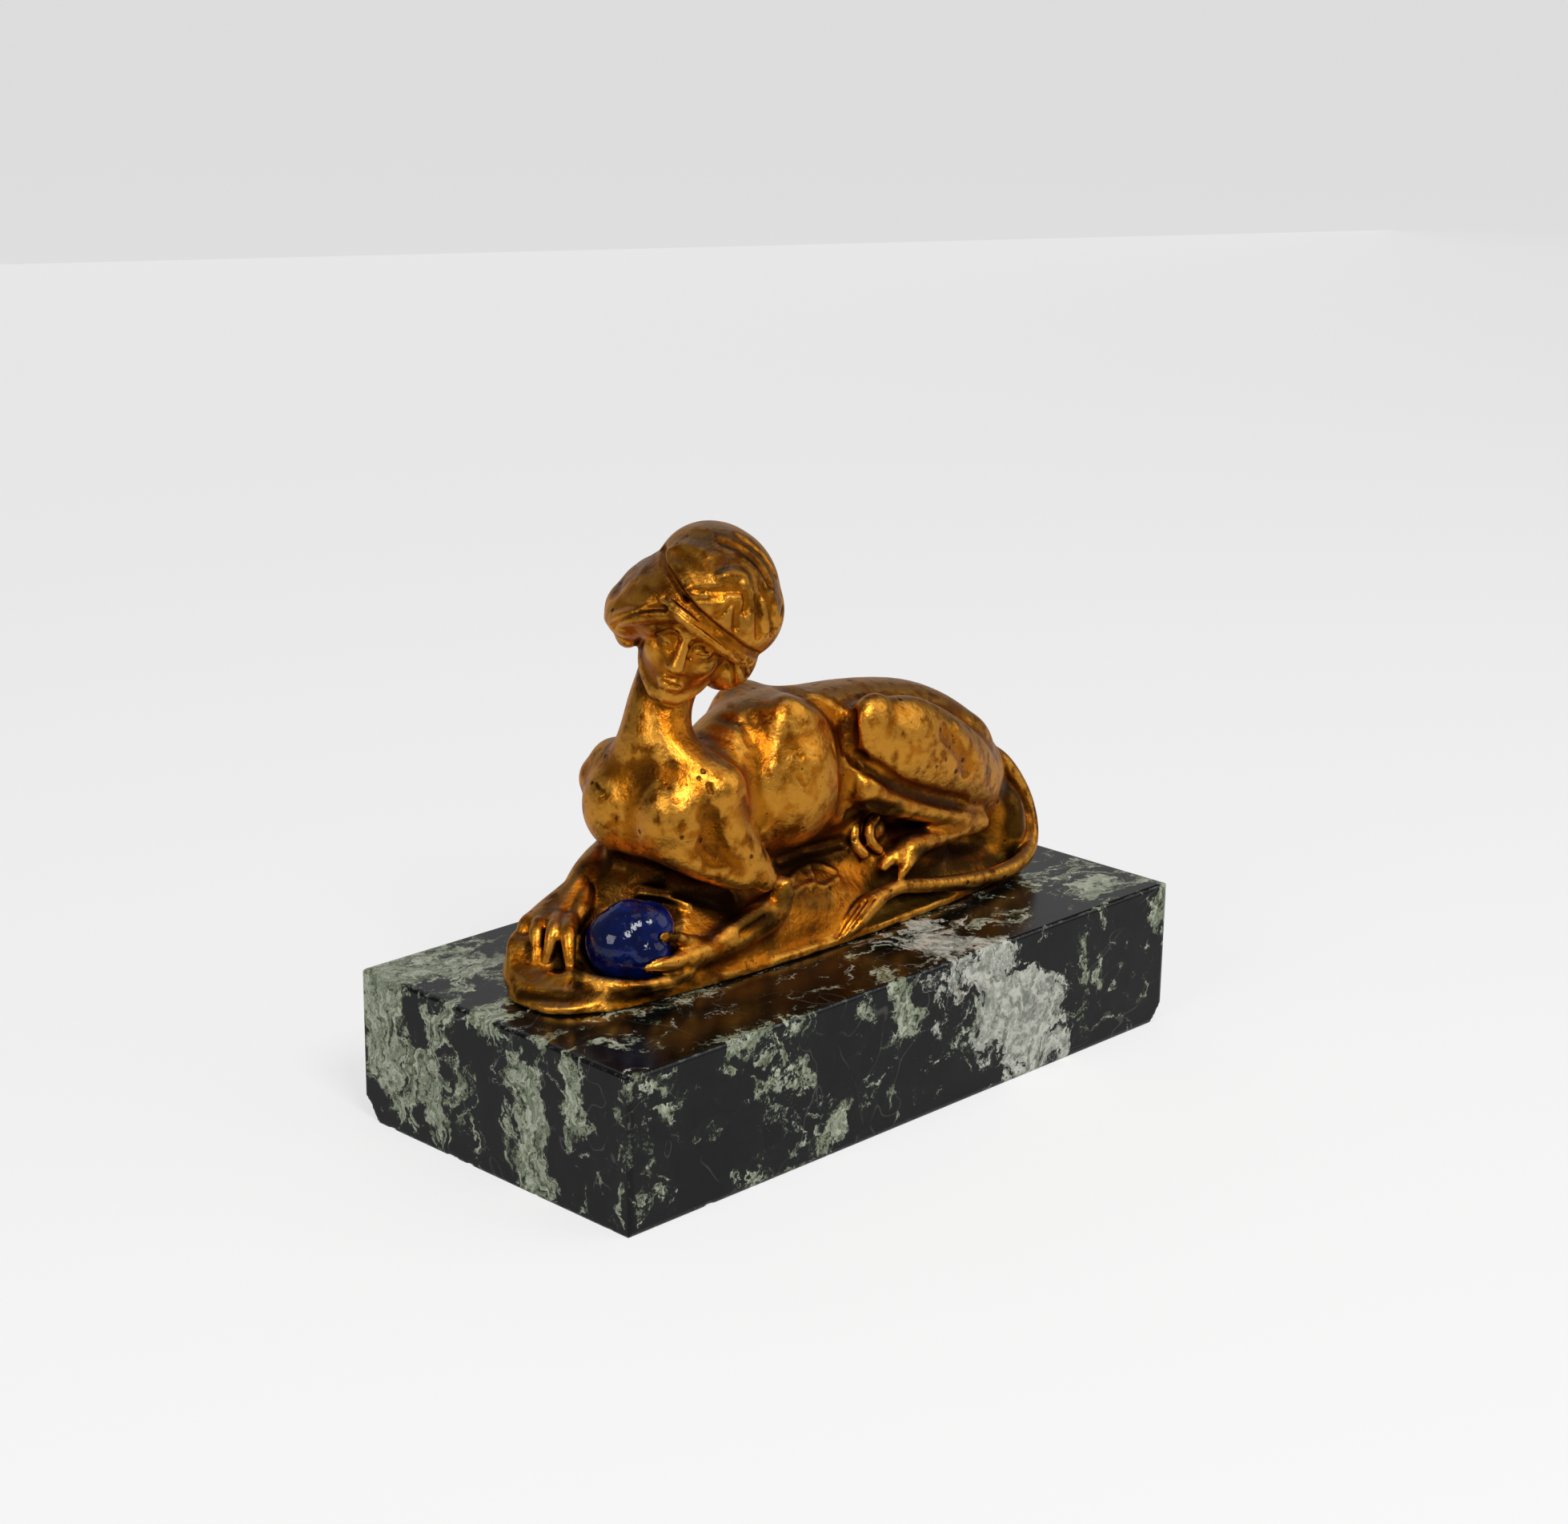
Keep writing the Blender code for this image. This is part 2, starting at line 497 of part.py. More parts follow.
def build_head():
    made = fuse(clay("head", [skull]), 0.5)
    soften(made, 6)
    for side in (1, -1):
        stroke(made, [(side * 2.2, -8.0, 0.4), (side * 4.0, -7.2, 0.2)], 2.2, -0.9)
    clay("head", [features], made)
    fuse(made, 0.42)
    soften(made, 3, 0.6, 0.05)
    clay("head", [turban, nape], made)
    fuse(made, 0.45)
    soften(made, 2, 0.6, 0.05)
    clay("head", [wraps], made)
    made.data.transform(head_frame())
    return made


def hind_legs(bm):
    hind_leg(bm, 1, 0.0, 0.0)
    hind_leg(bm, -1, 2.6, 2.6)


def press_details(made):
    for rows, width, height in NEAR_STROKES:
        stroke(made, rows, width, height)
        stroke(made, [(2.6 - x, y, z - 1.3) for x, y, z in rows], width, height)
    for rows, width, height in STROKES:
        stroke(made, rows, width, height)


def build_figure():
    made = fuse(clay("bronze_sphinx", [ground, torso, bust]), CLAY_VOXEL)
    soften(made, 22)
    clay("bronze_sphinx", [pad, hind_legs, near_arm, far_arm], made)
    fuse(made, CLAY_VOXEL)
    soften(made, 5)
    clay("bronze_sphinx", [front_rim, other_paw, tail, near_hand, far_hand], made)
    absorb(made, build_head())
    fuse(made, CLAY_VOXEL * 0.8)
    soften(made, 2, 0.7, 0.05)
    keep_largest(made)
    press_details(made)
    thin(made, FIGURE_TRIANGLES)
    cut_level(made, TOUCH_GAP / SHARE)
    return made


# Stone

def stone_forms(bm):
    for centre, radius in STONE_LOBES:
        ball(bm, centre, (radius, radius, radius))


def build_stone():
    made = fuse(clay("blue_stone", [stone_forms]), 0.5)
    soften(made, 5)
    thin(made, STONE_TRIANGLES)
    return made


def cut_seat(made, stone):
    """Hollows the casting by the stone grown by the gap."""
    cutter = bpy.data.objects.new("seat_cutter", stone.data.copy())
    bpy.context.scene.collection.objects.link(cutter)
    places = coordinates(cutter.data) + normals(cutter.data) * SEAT_GROWTH * TOUCH_GAP / SHARE
    write_coordinates(cutter.data, places)
    step = made.modifiers.new("seat", "BOOLEAN")
    step.operation = "DIFFERENCE"
    step.solver = "EXACT"
    step.object = cutter
    bake(made)
    bpy.data.objects.remove(cutter, do_unlink=True)


# Plinth

def build_plinth(look):
    bm = bmesh.new()
    size = Matrix.Diagonal((PLINTH_WIDTH, PLINTH_LENGTH, PLINTH_HEIGHT, 1))
    frame = Matrix.Translation((0, 0, PLINTH_HEIGHT / 2)) @ size
    bmesh.ops.create_cube(bm, size=1.0, matrix=frame)
    bmesh.ops.bevel(bm, geom=bm.edges[:], offset=PLINTH_EDGE, segments=2, profile=0.5, affect="EDGES",
                    material=-1)
    middle = Vector((0, 0, PLINTH_HEIGHT / 2))
    for side, end, up, wide, long in CHIPS:
        corner = Vector((side * PLINTH_WIDTH / 2, end * PLINTH_LENGTH / 2, 0))
        a = corner + Vector((0, 0, up))
        b = corner - Vector((side * wide, 0, 0))
        c = corner - Vector((0, end * long, 0))
        facing = (b - a).cross(c - a).normalized()
        if facing.dot(a - middle) < 0:
            facing = -facing
        geometry = bm.verts[:] + bm.edges[:] + bm.faces[:]
        cut = bmesh.ops.bisect_plane(bm, geom=geometry, plane_co=a, plane_no=facing, clear_outer=True)
        bmesh.ops.holes_fill(bm, edges=[e for e in cut["geom_cut"] if isinstance(e, bmesh.types.BMEdge)])
    bmesh.ops.recalc_face_normals(bm, faces=bm.faces[:])
    made = bpy.data.objects.new("marble_plinth", bpy.data.meshes.new("marble_plinth"))
    bpy.context.scene.collection.objects.link(made)
    bm.to_mesh(made.data)
    bm.free()
    finish(made, 0.0, 1.0, look)


def main():
    clear_scene()
    bronze = material("gilt_bronze", (0.55, 0.33, 0.09), 1.0, 0.38)
    marble = material("green_marble", (0.03, 0.045, 0.035), 0.0, 0.18)
    lapis = material("blue_stone", (0.01, 0.03, 0.25), 0.0, 0.1)
    build_plinth(marble)
    stone = build_stone()
    figure = build_figure()
    cut_seat(figure, stone)
    finish(figure, PLINTH_HEIGHT, SHARE, bronze)
    finish(stone, PLINTH_HEIGHT, SHARE, lapis)


main()
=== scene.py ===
import math

import bmesh
import bpy
import numpy as np
from mathutils import Euler, Matrix, Vector, noise
from mathutils.bvhtree import BVHTree


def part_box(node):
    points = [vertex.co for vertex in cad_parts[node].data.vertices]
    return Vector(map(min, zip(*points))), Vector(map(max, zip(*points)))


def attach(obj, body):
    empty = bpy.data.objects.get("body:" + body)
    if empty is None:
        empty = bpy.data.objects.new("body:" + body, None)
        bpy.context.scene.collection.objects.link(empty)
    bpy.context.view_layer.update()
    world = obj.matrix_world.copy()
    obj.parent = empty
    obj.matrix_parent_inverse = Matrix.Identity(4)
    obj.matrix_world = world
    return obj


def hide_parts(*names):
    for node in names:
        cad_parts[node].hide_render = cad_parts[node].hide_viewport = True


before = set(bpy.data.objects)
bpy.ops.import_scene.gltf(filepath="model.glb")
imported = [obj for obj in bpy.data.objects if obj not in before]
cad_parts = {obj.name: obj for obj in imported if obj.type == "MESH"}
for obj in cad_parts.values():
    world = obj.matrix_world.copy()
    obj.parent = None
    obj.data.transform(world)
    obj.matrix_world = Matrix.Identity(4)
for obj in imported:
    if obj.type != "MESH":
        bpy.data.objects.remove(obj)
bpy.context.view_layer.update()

# A gilt bronze sphinx on a veined marble plinth, with a deep blue stone between its hands.
# Clay forms are in millimetres with z from the plinth's top, until place() turns them into metres.
mm = 0.001
plinthLow, plinthHigh = [Vector(corner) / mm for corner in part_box("marble_plinth")]
plinthTop = plinthHigh.z

photo = {"wide": 1959, "high": 1904, "focal": 3762.04}
view = {"turn": 44.206, "rise": 16.705, "roll": 0.7986, "far": 470.41,
        "aim": (0, 0, 30), "side": 0.088, "up": 19.533}


def newThing(name, data):
    thing = bpy.data.objects.new(name, data)
    bpy.context.scene.collection.objects.link(thing)
    return thing


# Camera

def cameraAxes():
    turn, rise, roll = (math.radians(view[name]) for name in ("turn", "rise", "roll"))
    back = Vector((math.sin(turn) * math.cos(rise), -math.cos(turn) * math.cos(rise), math.sin(rise)))
    right = Vector((0, 0, 1)).cross(back).normalized()
    up = back.cross(right)
    right, up = right * math.cos(roll) + up * math.sin(roll), up * math.cos(roll) - right * math.sin(roll)
    eye = Vector(view["aim"]) + back * view["far"] + right * view["side"] + up * view["up"]
    return eye, right, up, back


def makeCamera():
    eye, right, up, back = cameraAxes()
    data = bpy.data.cameras.new("camera")
    data.sensor_width = 36
    data.lens = data.sensor_width * photo["focal"] / photo["wide"]
    data.clip_start = 0.01
    thing = newThing("camera", data)
    thing.matrix_world = Matrix.Translation(eye * mm) @ Matrix((right, up, back)).transposed().to_4x4()
    bpy.context.scene.camera = thing
    print("camera ready")


# Clay tools

def curveThrough(rows, step):
    # smooth rows between the given rows, about one step apart
    rows = np.array(rows, float)
    ends = np.vstack([2 * rows[0] - rows[1], rows, 2 * rows[-1] - rows[-2]])
    made = []
    for a, b, c, d in zip(ends, ends[1:], ends[2:], ends[3:]):
        count = max(2, int(np.linalg.norm((c - b)[:3]) / step))
        for t in np.linspace(0.0, 1.0, count, endpoint=False):
            made.append(0.5 * (2 * b + (c - a) * t + (2 * a - 5 * b + 4 * c - d) * t * t
                               + (3 * b - a - 3 * c + d) * t ** 3))
    made.append(rows[-1])
    return np.array(made)


def limb(bm, rows, lift=(0, 0, 1), around=20):
    # a ball drawn out along rows of x, y, z, half width, half height
    path = curveThrough([row if len(row) == 5 else (*row[:4], row[3]) for row in rows], 0.8)
    spots = path[:, :3]
    ways = np.vstack([spots[1:2] - spots[:1], spots[2:] - spots[:-2], spots[-1:] - spots[-2:-1]])
    ways /= np.linalg.norm(ways, axis=1, keepdims=True)
    rings = []
    for end, turns, sign in ((0, (90, 82, 62, 40, 20), -1), (-1, (20, 40, 62, 82, 90), 1)):
        cap = []
        for turn in np.radians(turns):
            mean = path[end, 3:].mean()
            shift = path[end, :3] + sign * ways[end] * mean * math.sin(turn)
            cap.append((*shift, *(path[end, 3:] * math.cos(turn)), *ways[end]))
        rings.append(cap)
    rings = np.vstack([rings[0], np.hstack([path, ways]), rings[1]])
    way = rings[:, 5:]
    up = np.array(lift) - way * (way @ np.array(lift))[:, None]
    up /= np.linalg.norm(up, axis=1, keepdims=True)
    side = np.cross(way, up)
    verts = bmesh.ops.create_uvsphere(bm, u_segments=around, v_segments=len(rings) - 1, radius=1.0)["verts"]
    for vert in verts:
        k = len(rings) - 1 - round(math.acos(max(-1.0, min(1.0, vert.co.z))) / math.pi * (len(rings) - 1))
        turn = math.atan2(vert.co.y, vert.co.x)
        vert.co = (rings[k, :3] + side[k] * rings[k, 3] * math.cos(turn)
                   + up[k] * rings[k, 4] * math.sin(turn))


def ball(bm, centre, radii, turn=(0, 0, 0)):
    spin = Euler([math.radians(a) for a in turn]).to_matrix().to_4x4()
    shape = Matrix.Translation(centre) @ spin @ Matrix.Diagonal((*radii, 1.0))
    bmesh.ops.create_icosphere(bm, subdivisions=4, radius=1.0, matrix=shape)


def clay(name, forms, made=None):
    # makes an object of closed forms, or adds them to one
    bm = bmesh.new()
    for form in forms:
        form(bm)
    bmesh.ops.recalc_face_normals(bm, faces=bm.faces[:])
    if made is None:
        made = newThing(name, bpy.data.meshes.new(name))
    else:
        bm.from_mesh(made.data)
    bm.to_mesh(made.data)
    bm.free()
    return made


def absorb(made, other):
    bm = bmesh.new()
    bm.from_mesh(made.data)
    bm.from_mesh(other.data)
    bm.to_mesh(made.data)
    bm.free()
    bpy.data.objects.remove(other)


def bake(made):
    # keeps what the modifiers make
    graph = bpy.context.evaluated_depsgraph_get()
    made.data = bpy.data.meshes.new_from_object(made.evaluated_get(graph))
    made.modifiers.clear()


def melt(made, voxel):
    step = made.modifiers.new("melt", "REMESH")
    step.mode = "VOXEL"
    step.voxel_size = voxel
    bake(made)


def readPlaces(mesh):
    flat = np.empty(len(mesh.vertices) * 3, np.float32)
    mesh.vertices.foreach_get("co", flat)
    return flat.reshape(-1, 3).astype(float)


def writePlaces(mesh, places):
    mesh.vertices.foreach_set("co", places.astype(np.float32).ravel())
    mesh.update()


def readNormals(mesh):
    flat = np.empty(len(mesh.vertices) * 3, np.float32)
    mesh.vertex_normals.foreach_get("vector", flat)
    return flat.reshape(-1, 3).astype(float)


def neighbours(mesh):
    ends = np.empty(len(mesh.edges) * 2, np.int32)
    mesh.edges.foreach_get("vertices", ends)
    a, b = ends.reshape(-1, 2).T
    total = len(mesh.vertices)
    degree = np.bincount(a, minlength=total) + np.bincount(b, minlength=total)
    return a, b, np.maximum(degree, 1), total


def meanOf(values, around):
    a, b, degree, total = around
    return (np.bincount(a, values[b], total) + np.bincount(b, values[a], total)) / degree


def relax(made, rounds, fill=0.9, shave=0.15):
    # fills hollows between forms and only lightly rounds what stands out
    around = neighbours(made.data)
    for _ in range(rounds):
        places = readPlaces(made.data)
        facing = readNormals(made.data)
        pull = np.stack([meanOf(places[:, axis], around) for axis in range(3)], axis=1) - places
        out = np.sum(pull * facing, axis=1, keepdims=True)
        along = pull - out * facing
        places += along * 0.5 + facing * np.where(out > 0, out * fill, out * shave)
        writePlaces(made.data, places)


def keepLargest(made):
    # drops loose crumbs and sealed pockets left by melting
    a, b, _, total = neighbours(made.data)
    label = np.arange(total)
    while True:
        low = np.minimum(label[a], label[b])
        fresh = label.copy()
        np.minimum.at(fresh, a, low)
        np.minimum.at(fresh, b, low)
        fresh = fresh[fresh]
        if np.array_equal(fresh, label):
            break
        label = fresh
    most = np.bincount(label).argmax()
    if (label == most).all():
        return
    bm = bmesh.new()
    bm.from_mesh(made.data)
    bm.verts.ensure_lookup_table()
    bmesh.ops.delete(bm, geom=[bm.verts[i] for i in np.where(label != most)[0]], context="VERTS")
    bm.to_mesh(made.data)
    bm.free()


def thin(made, triangles):
    made.modifiers.new("triangles", "TRIANGULATE")
    bake(made)
    step = made.modifiers.new("thin", "DECIMATE")
    step.ratio = min(1.0, triangles / len(made.data.polygons))
    bake(made)


def cutLevel(made, height):
    bm = bmesh.new()
    bm.from_mesh(made.data)
    geometry = bm.verts[:] + bm.edges[:] + bm.faces[:]
    cut = bmesh.ops.bisect_plane(bm, geom=geometry, plane_co=(0, 0, height), plane_no=(0, 0, 1),
                                 clear_inner=True)
    bmesh.ops.holes_fill(bm, edges=[e for e in cut["geom_cut"] if isinstance(e, bmesh.types.BMEdge)])
    bm.to_mesh(made.data)
    bm.free()


def treeOf(made):
    graph = bpy.context.evaluated_depsgraph_get()
    return BVHTree.FromObject(made, graph)


def fromPhoto(tree, pixels, step=2.5):
    # the line on the skin that a line of the photo's pixels falls on
    eye, right, up, back = cameraAxes()
    eye = eye - Vector((0, 0, plinthTop))
    line = []
    for u, v in curveThrough([(u, v, 0) for u, v in pixels], step)[:, :2]:
        way = right * (u - photo["wide"] / 2) - up * (v - photo["high"] / 2) - back * photo["focal"]
        spot = tree.ray_cast(eye, way.normalized())[0]
        if spot is not None:
            line.append(tuple(spot))
    return line


def snap(tree, rows, step=0.4):
    # the line on the skin nearest to the given rows
    line = curveThrough([(*row[:3], 0) for row in rows], step)[:, :3]
    return [tuple(tree.find_nearest(Vector(spot))[0]) for spot in line]


def nearLine(places, line, reach):
    # which places lie within reach of the line, and how far off each is
    line = np.array(line)
    boxed = (places > line.min(axis=0) - reach) & (places < line.max(axis=0) + reach)
    near = np.where(np.all(boxed, axis=1))[0]
    gap = np.full(len(near), float(reach))
    for spot in line:
        gap = np.minimum(gap, np.linalg.norm(places[near] - spot, axis=1))
    return near, gap


def carve(made, strokes):
    # raises or presses the skin along lines: points, reach, height
    places = readPlaces(made.data)
    facing = readNormals(made.data)
    moved = np.zeros(len(places))
    for line, reach, height in strokes:
        if len(line) == 0:
            continue
        near, gap = nearLine(places, line, reach)
        moved[near] += height * np.clip(1.0 - (gap / reach) ** 2, 0.0, 1.0) ** 2
    writePlaces(made.data, places + facing * moved[:, None])


def paint(made, name, values):
    layer = made.data.attributes.new(name, "FLOAT", "POINT")
    layer.data.foreach_set("value", np.asarray(values, np.float32))


def paintShelter(made, reach=7.0, rays=20, seed=5, clear=0.08):
    # how closed in each point is, 0 to 1
    tree = treeOf(made)
    places, facing = readPlaces(made.data), readNormals(made.data)
    chance = np.random.default_rng(seed)
    ways = chance.normal(size=(rays, 3))
    ways /= np.linalg.norm(ways, axis=1, keepdims=True)
    shut = np.zeros(len(places))
    for k, (spot, up) in enumerate(zip(places, facing)):
        start = Vector(spot + up * clear)
        for way in ways:
            if tree.ray_cast(start, Vector(way + up * 1.02), reach)[0] is not None:
                shut[k] += 1
    around = neighbours(made.data)
    shut /= rays
    for _ in range(3):
        shut = 0.5 * shut + 0.5 * meanOf(shut, around)
    paint(made, "hollow", shut)


def paintCrests(made, rounds=26, height=0.35):
    # above 0.5 on what stands out, below in creases
    around = neighbours(made.data)
    places = readPlaces(made.data)
    even = places.copy()
    for _ in range(rounds):
        even = np.stack([meanOf(even[:, axis], around) for axis in range(3)], axis=1)
    lift = np.sum((places - even) * readNormals(made.data), axis=1)
    paint(made, "crest", np.clip(0.5 + 0.5 * lift / height, 0.0, 1.0))


def finish(made, look, node):
    made.data.materials.clear()
    made.data.materials.append(look)
    for polygon in made.data.polygons:
        polygon.use_smooth = True
    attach(made, "root")
    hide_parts(node)


def place(made, look, node):
    made.data.transform(Matrix.Scale(mm, 4) @ Matrix.Translation((0, 0, plinthTop)))
    finish(made, look, node)


# The stone, and its seat in the casting: room is the gap kept, groove the rim pressed round it
stone = {"lobes": (((4.2, -38.0, 7.4), 5.5), ((6.4, -35.2, 9.6), 4.1),
                   ((7.0, -36.6, 6.2), 4.2), ((4.6, -36.6, 8.8), 5.0)),
         "voxel": 0.25, "rounds": 14, "room": 0.45, "groove": 0.55, "grooveReach": 1.0}


# The casting: ground, lioness, bust, arms and head

casting = {"roughVoxel": 0.62, "fineVoxel": 0.25, "triangles": 190000, "gap": 0.3,
           "bodyRounds": 22, "limbRounds": 5, "lastRounds": 6}
pad = {"halfWidth": 13.3, "front": -53.3, "rear": 52.0, "lip": 1.4, "sunk": 2.0, "corners": 96}
head = {"centre": (2.3, -22.9, 52.0), "yaw": 40.0, "pitch": -7.0, "lean": 20.0,
        "roughVoxel": 0.4, "fineVoxel": 0.22, "skullRounds": 10, "faceRounds": 5, "clothRounds": 16,
        "lastRounds": 3}


def ground(bm):
    limb(bm, [(0, -43, -1.5, 11.2, 5.6), (0, -36, -1, 11.6, 7.2), (0, -30, -1, 12, 12.4),
              (0, -24, -1, 12.2, 14.6), (0, -10, -1, 12.3, 14.8), (0, 2, -1, 12.4, 13.6),
              (0, 14, -1, 12.2, 9.5), (0, 30, -1, 11.6, 8), (0, 41, -1, 10.2, 6.6)])
    ball(bm, (-5.6, -36, 3), (6, 10, 8.4))
    ball(bm, (-4.6, -43, 1.4), (6.6, 7, 5.8))
    ball(bm, (-6.4, -47, 3.6), (4, 2.8, 4.8))
    limb(bm, [(-9.6, -44.6, 3.4, 1.6), (-7.8, -48.8, 3, 1.8), (-4.4, -50.8, 2.2, 1.8),
              (-0.4, -50.4, 1.8, 1.8), (3.4, -48.8, 1.6, 1.8), (8, -45, 1.4, 1.6)])
    ball(bm, (-5.5, -28.5, 7), (7.5, 8, 9.8))
    ball(bm, (-3.6, 43.6, 5), (6.4, 6, 7.4))
    ball(bm, (0.6, 45.4, 7), (6.4, 4.8, 9))
    ball(bm, (4.2, 47.4, 6), (4.6, 3.8, 8.4))
    ball(bm, (4.6, 21, 8.6), (5.6, 11, 5.6))
    ball(bm, (-1.5, 9.6, 9.4), (8.6, 9.4, 7))


def foot(bm):
    # the thin foot, a blunt oval with a low lip
    verts = bmesh.ops.create_circle(bm, cap_ends=True, segments=pad["corners"], radius=1.0)["verts"]
    middle, half = (pad["rear"] + pad["front"]) / 2, (pad["rear"] - pad["front"]) / 2
    for vert in verts:
        x, y = vert.co.x, vert.co.y
        vert.co = (pad["halfWidth"] * math.copysign(abs(x) ** 0.62, x),
                   middle + half * math.copysign(abs(y) ** 0.95, y), -pad["sunk"])
    top = bmesh.ops.extrude_face_region(bm, geom=bm.faces[:])["geom"]
    rise = [vert for vert in top if isinstance(vert, bmesh.types.BMVert)]
    bmesh.ops.translate(bm, verts=rise, vec=(0, 0, pad["sunk"] + pad["lip"]))


def frontRim(bm):
    limb(bm, [(-9.6, -43, 6.6, 0.7), (-9.4, -46, 7.4, 0.75), (-8.4, -48.4, 7, 0.8),
              (-6.8, -50, 4.6, 0.85), (-4.6, -50.4, 2.7, 0.95), (-2, -49.6, 2.8, 1), (0.4, -48.6, 3.6, 1),
              (2.6, -47.6, 3.6, 0.9)])
    limb(bm, [(2.6, -46.6, 4.6, 0.9), (5.8, -45.2, 3.8, 1.1), (8.6, -43, 3.2, 1.2),
              (10.8, -40.6, 3.2, 1.1), (11.9, -38, 2.8, 0.9)])


def torso(bm):
    limb(bm, [(0, -18, 20.4, 8.6, 10.4), (0, -8, 25.2, 9.8, 13.2), (0, 4, 25.4, 9.4, 12.6),
              (0, 15, 25, 8.4, 12), (0, 25, 22.8, 8.4, 12), (0, 34, 19, 8.4, 11.2),
              (0, 40, 15, 7.8, 9.6)], around=28)
    for side in (1, -1):
        ball(bm, (side * 4.2, -4.6, 31.4), (4.6, 7.4, 8.2), (4, side * 10, 0))
        ball(bm, (side * 4.8, -4, 25.4), (6.7, 9.4, 10.6), (-6, 0, 0))
        ball(bm, (side * 4.6, 35, 20.8), (3.6, 9, 8), (-32, 0, 0))


def hindLeg(bm, side, spread, drop):
    def x(value):
        return side * (value - spread)
    ball(bm, (x(8.8), 10.4, 32.4 - drop), (3, 4.6, 5), (20, 0, 0))
    limb(bm, [(x(8.6), 10.6, 30.8 - drop, 3.4, 5.8), (x(9.2), 16, 28.6 - drop, 4.2, 7.4),
              (x(9), 24, 24.6, 4.4, 7.4), (x(8.4), 31.6, 20.6, 4, 6.4), (x(7.6), 37, 17.4, 3.4, 4.8)],
              lift=(0, 0.4, 0.9))
    limb(bm, [(x(9), 8.4, 22.6, 2.6, 3.6), (x(9.6), 14, 19.4, 2.3, 2.6), (x(9.8), 22, 16, 2.1, 2),
              (x(9.6), 30, 13.2, 1.8, 1.7), (x(9), 36, 11.2, 1.6, 1.6)], lift=(0, 0.4, 0.9))
    limb(bm, [(x(9), 36.4, 10.8, 1.5, 1.6), (x(9.8), 30, 10.9, 1.5, 1.4), (x(10.4), 23.4, 11.2, 1.7, 1.4),
              (x(10.8), 18.8, 11.4, 2, 1.7)])
    ball(bm, (x(10.6), 17.4, 10.8), (2.4, 2.6, 2.2), (24, 0, 0))
    limb(bm, [(x(9.7), 17, 11, 1.15), (x(9.6), 14, 10, 1.15), (x(9.6), 12.6, 8.6, 0.95)])
    limb(bm, [(x(11.7), 17.4, 10.2, 1.15), (x(12.1), 15, 9, 1.05), (x(12.1), 13.8, 7.6, 0.9)])


def hindLegs(bm):
    hindLeg(bm, 1, 0.0, 0.0)
    hindLeg(bm, -1, 2.6, 2.6)


def otherPaw(bm):
    ball(bm, (5.4, 13.4, 13.6), (2.4, 3, 2.8), (20, 0, 0))
    limb(bm, [(6.8, 13.4, 16.2, 0.9), (7.2, 11.6, 14.8, 0.9), (7.8, 11.4, 12.8, 0.9),
              (8.4, 12.6, 11.4, 0.8)])
    limb(bm, [(4.4, 12, 16, 1), (5.6, 9.8, 14.8, 1), (6.4, 9.2, 12.6, 1), (7.6, 10, 11, 0.9)])


def tail(bm):
    limb(bm, [(1, 43.5, 20, 2.2), (2.6, 48.6, 17, 1.7), (4.6, 51.6, 12, 1.4), (6.4, 52, 7.2, 1.35),
              (8.8, 49.2, 3.8, 1.35), (10.8, 44, 2.4, 1.35), (11.6, 36.6, 2.3, 1.3),
              (11.8, 28, 3.2, 1.25), (11.8, 20, 4.6, 1.25), (11.9, 14, 5.8, 1.25), (12, 9.6, 5.4, 1.2)])
    limb(bm, [(12, 9.6, 5.4, 1.3), (12.1, 6.4, 4.4, 1.8, 1.7), (12.3, 3, 2.9, 1.9, 1.7),
              (12.6, -0.4, 1.2, 0.8)])


def bust(bm):
    limb(bm, [(0, -24.6, 20, 9.6, 8), (0.1, -25.6, 24, 10.9, 8.4), (0.2, -26.2, 27.6, 11.4, 7.8),
              (0.2, -26.6, 30.2, 11.4, 6.8), (0.1, -27, 32.4, 10.2, 5.8), (0, -27.3, 34.2, 7.8, 5.2),
              (-0.4, -27, 36.6, 5.7, 5), (-1, -25.6, 40.6, 4.9, 4.8), (-1.2, -23.9, 43.6, 4.8, 4.8),
              (-1, -23.2, 46, 4.8, 4.8)], lift=(0.26, -1, 0), around=28)
    ball(bm, (0, -19.5, 24), (10.2, 8, 9.8))
    ball(bm, (8.8, -23.4, 28.6), (4.4, 4.8, 4.8))
    ball(bm, (-8.4, -27.4, 28.4), (4.8, 5, 5.8))
    ball(bm, (-6, -27, 31.4), (3.8, 3.8, 3.2))
    ball(bm, (4.8, -28.6, 25), (6.4, 5.8, 7.4))
    ball(bm, (-4.4, -30, 25), (6.6, 5.8, 7.4))


def nearArm(bm):
    limb(bm, [(9.6, -23.8, 29, 3.2, 3.8), (10.2, -22.8, 24.4, 2.8, 3.6), (11, -20.2, 19.4, 2.6, 3.4),
              (11.7, -17.6, 15.6, 2.3, 2.9), (12, -16.4, 14.2, 1.9, 2.2)], lift=(0, -1, 0))
    limb(bm, [(6.6, -29.4, 21.4, 3.2, 4), (8.6, -25.4, 18.8, 3, 3.8), (10.6, -20.4, 16, 2.6, 3.2)],
              lift=(0, -1, 0))
    limb(bm, [(11.3, -12.4, 11.6, 2, 2.2), (11.2, -13.2, 8.6, 2.2, 2.6), (11.2, -17.6, 7.4, 2.1, 2.9),
              (11, -22.8, 6, 1.9, 2.5), (10.8, -26.8, 5, 1.8, 2)])


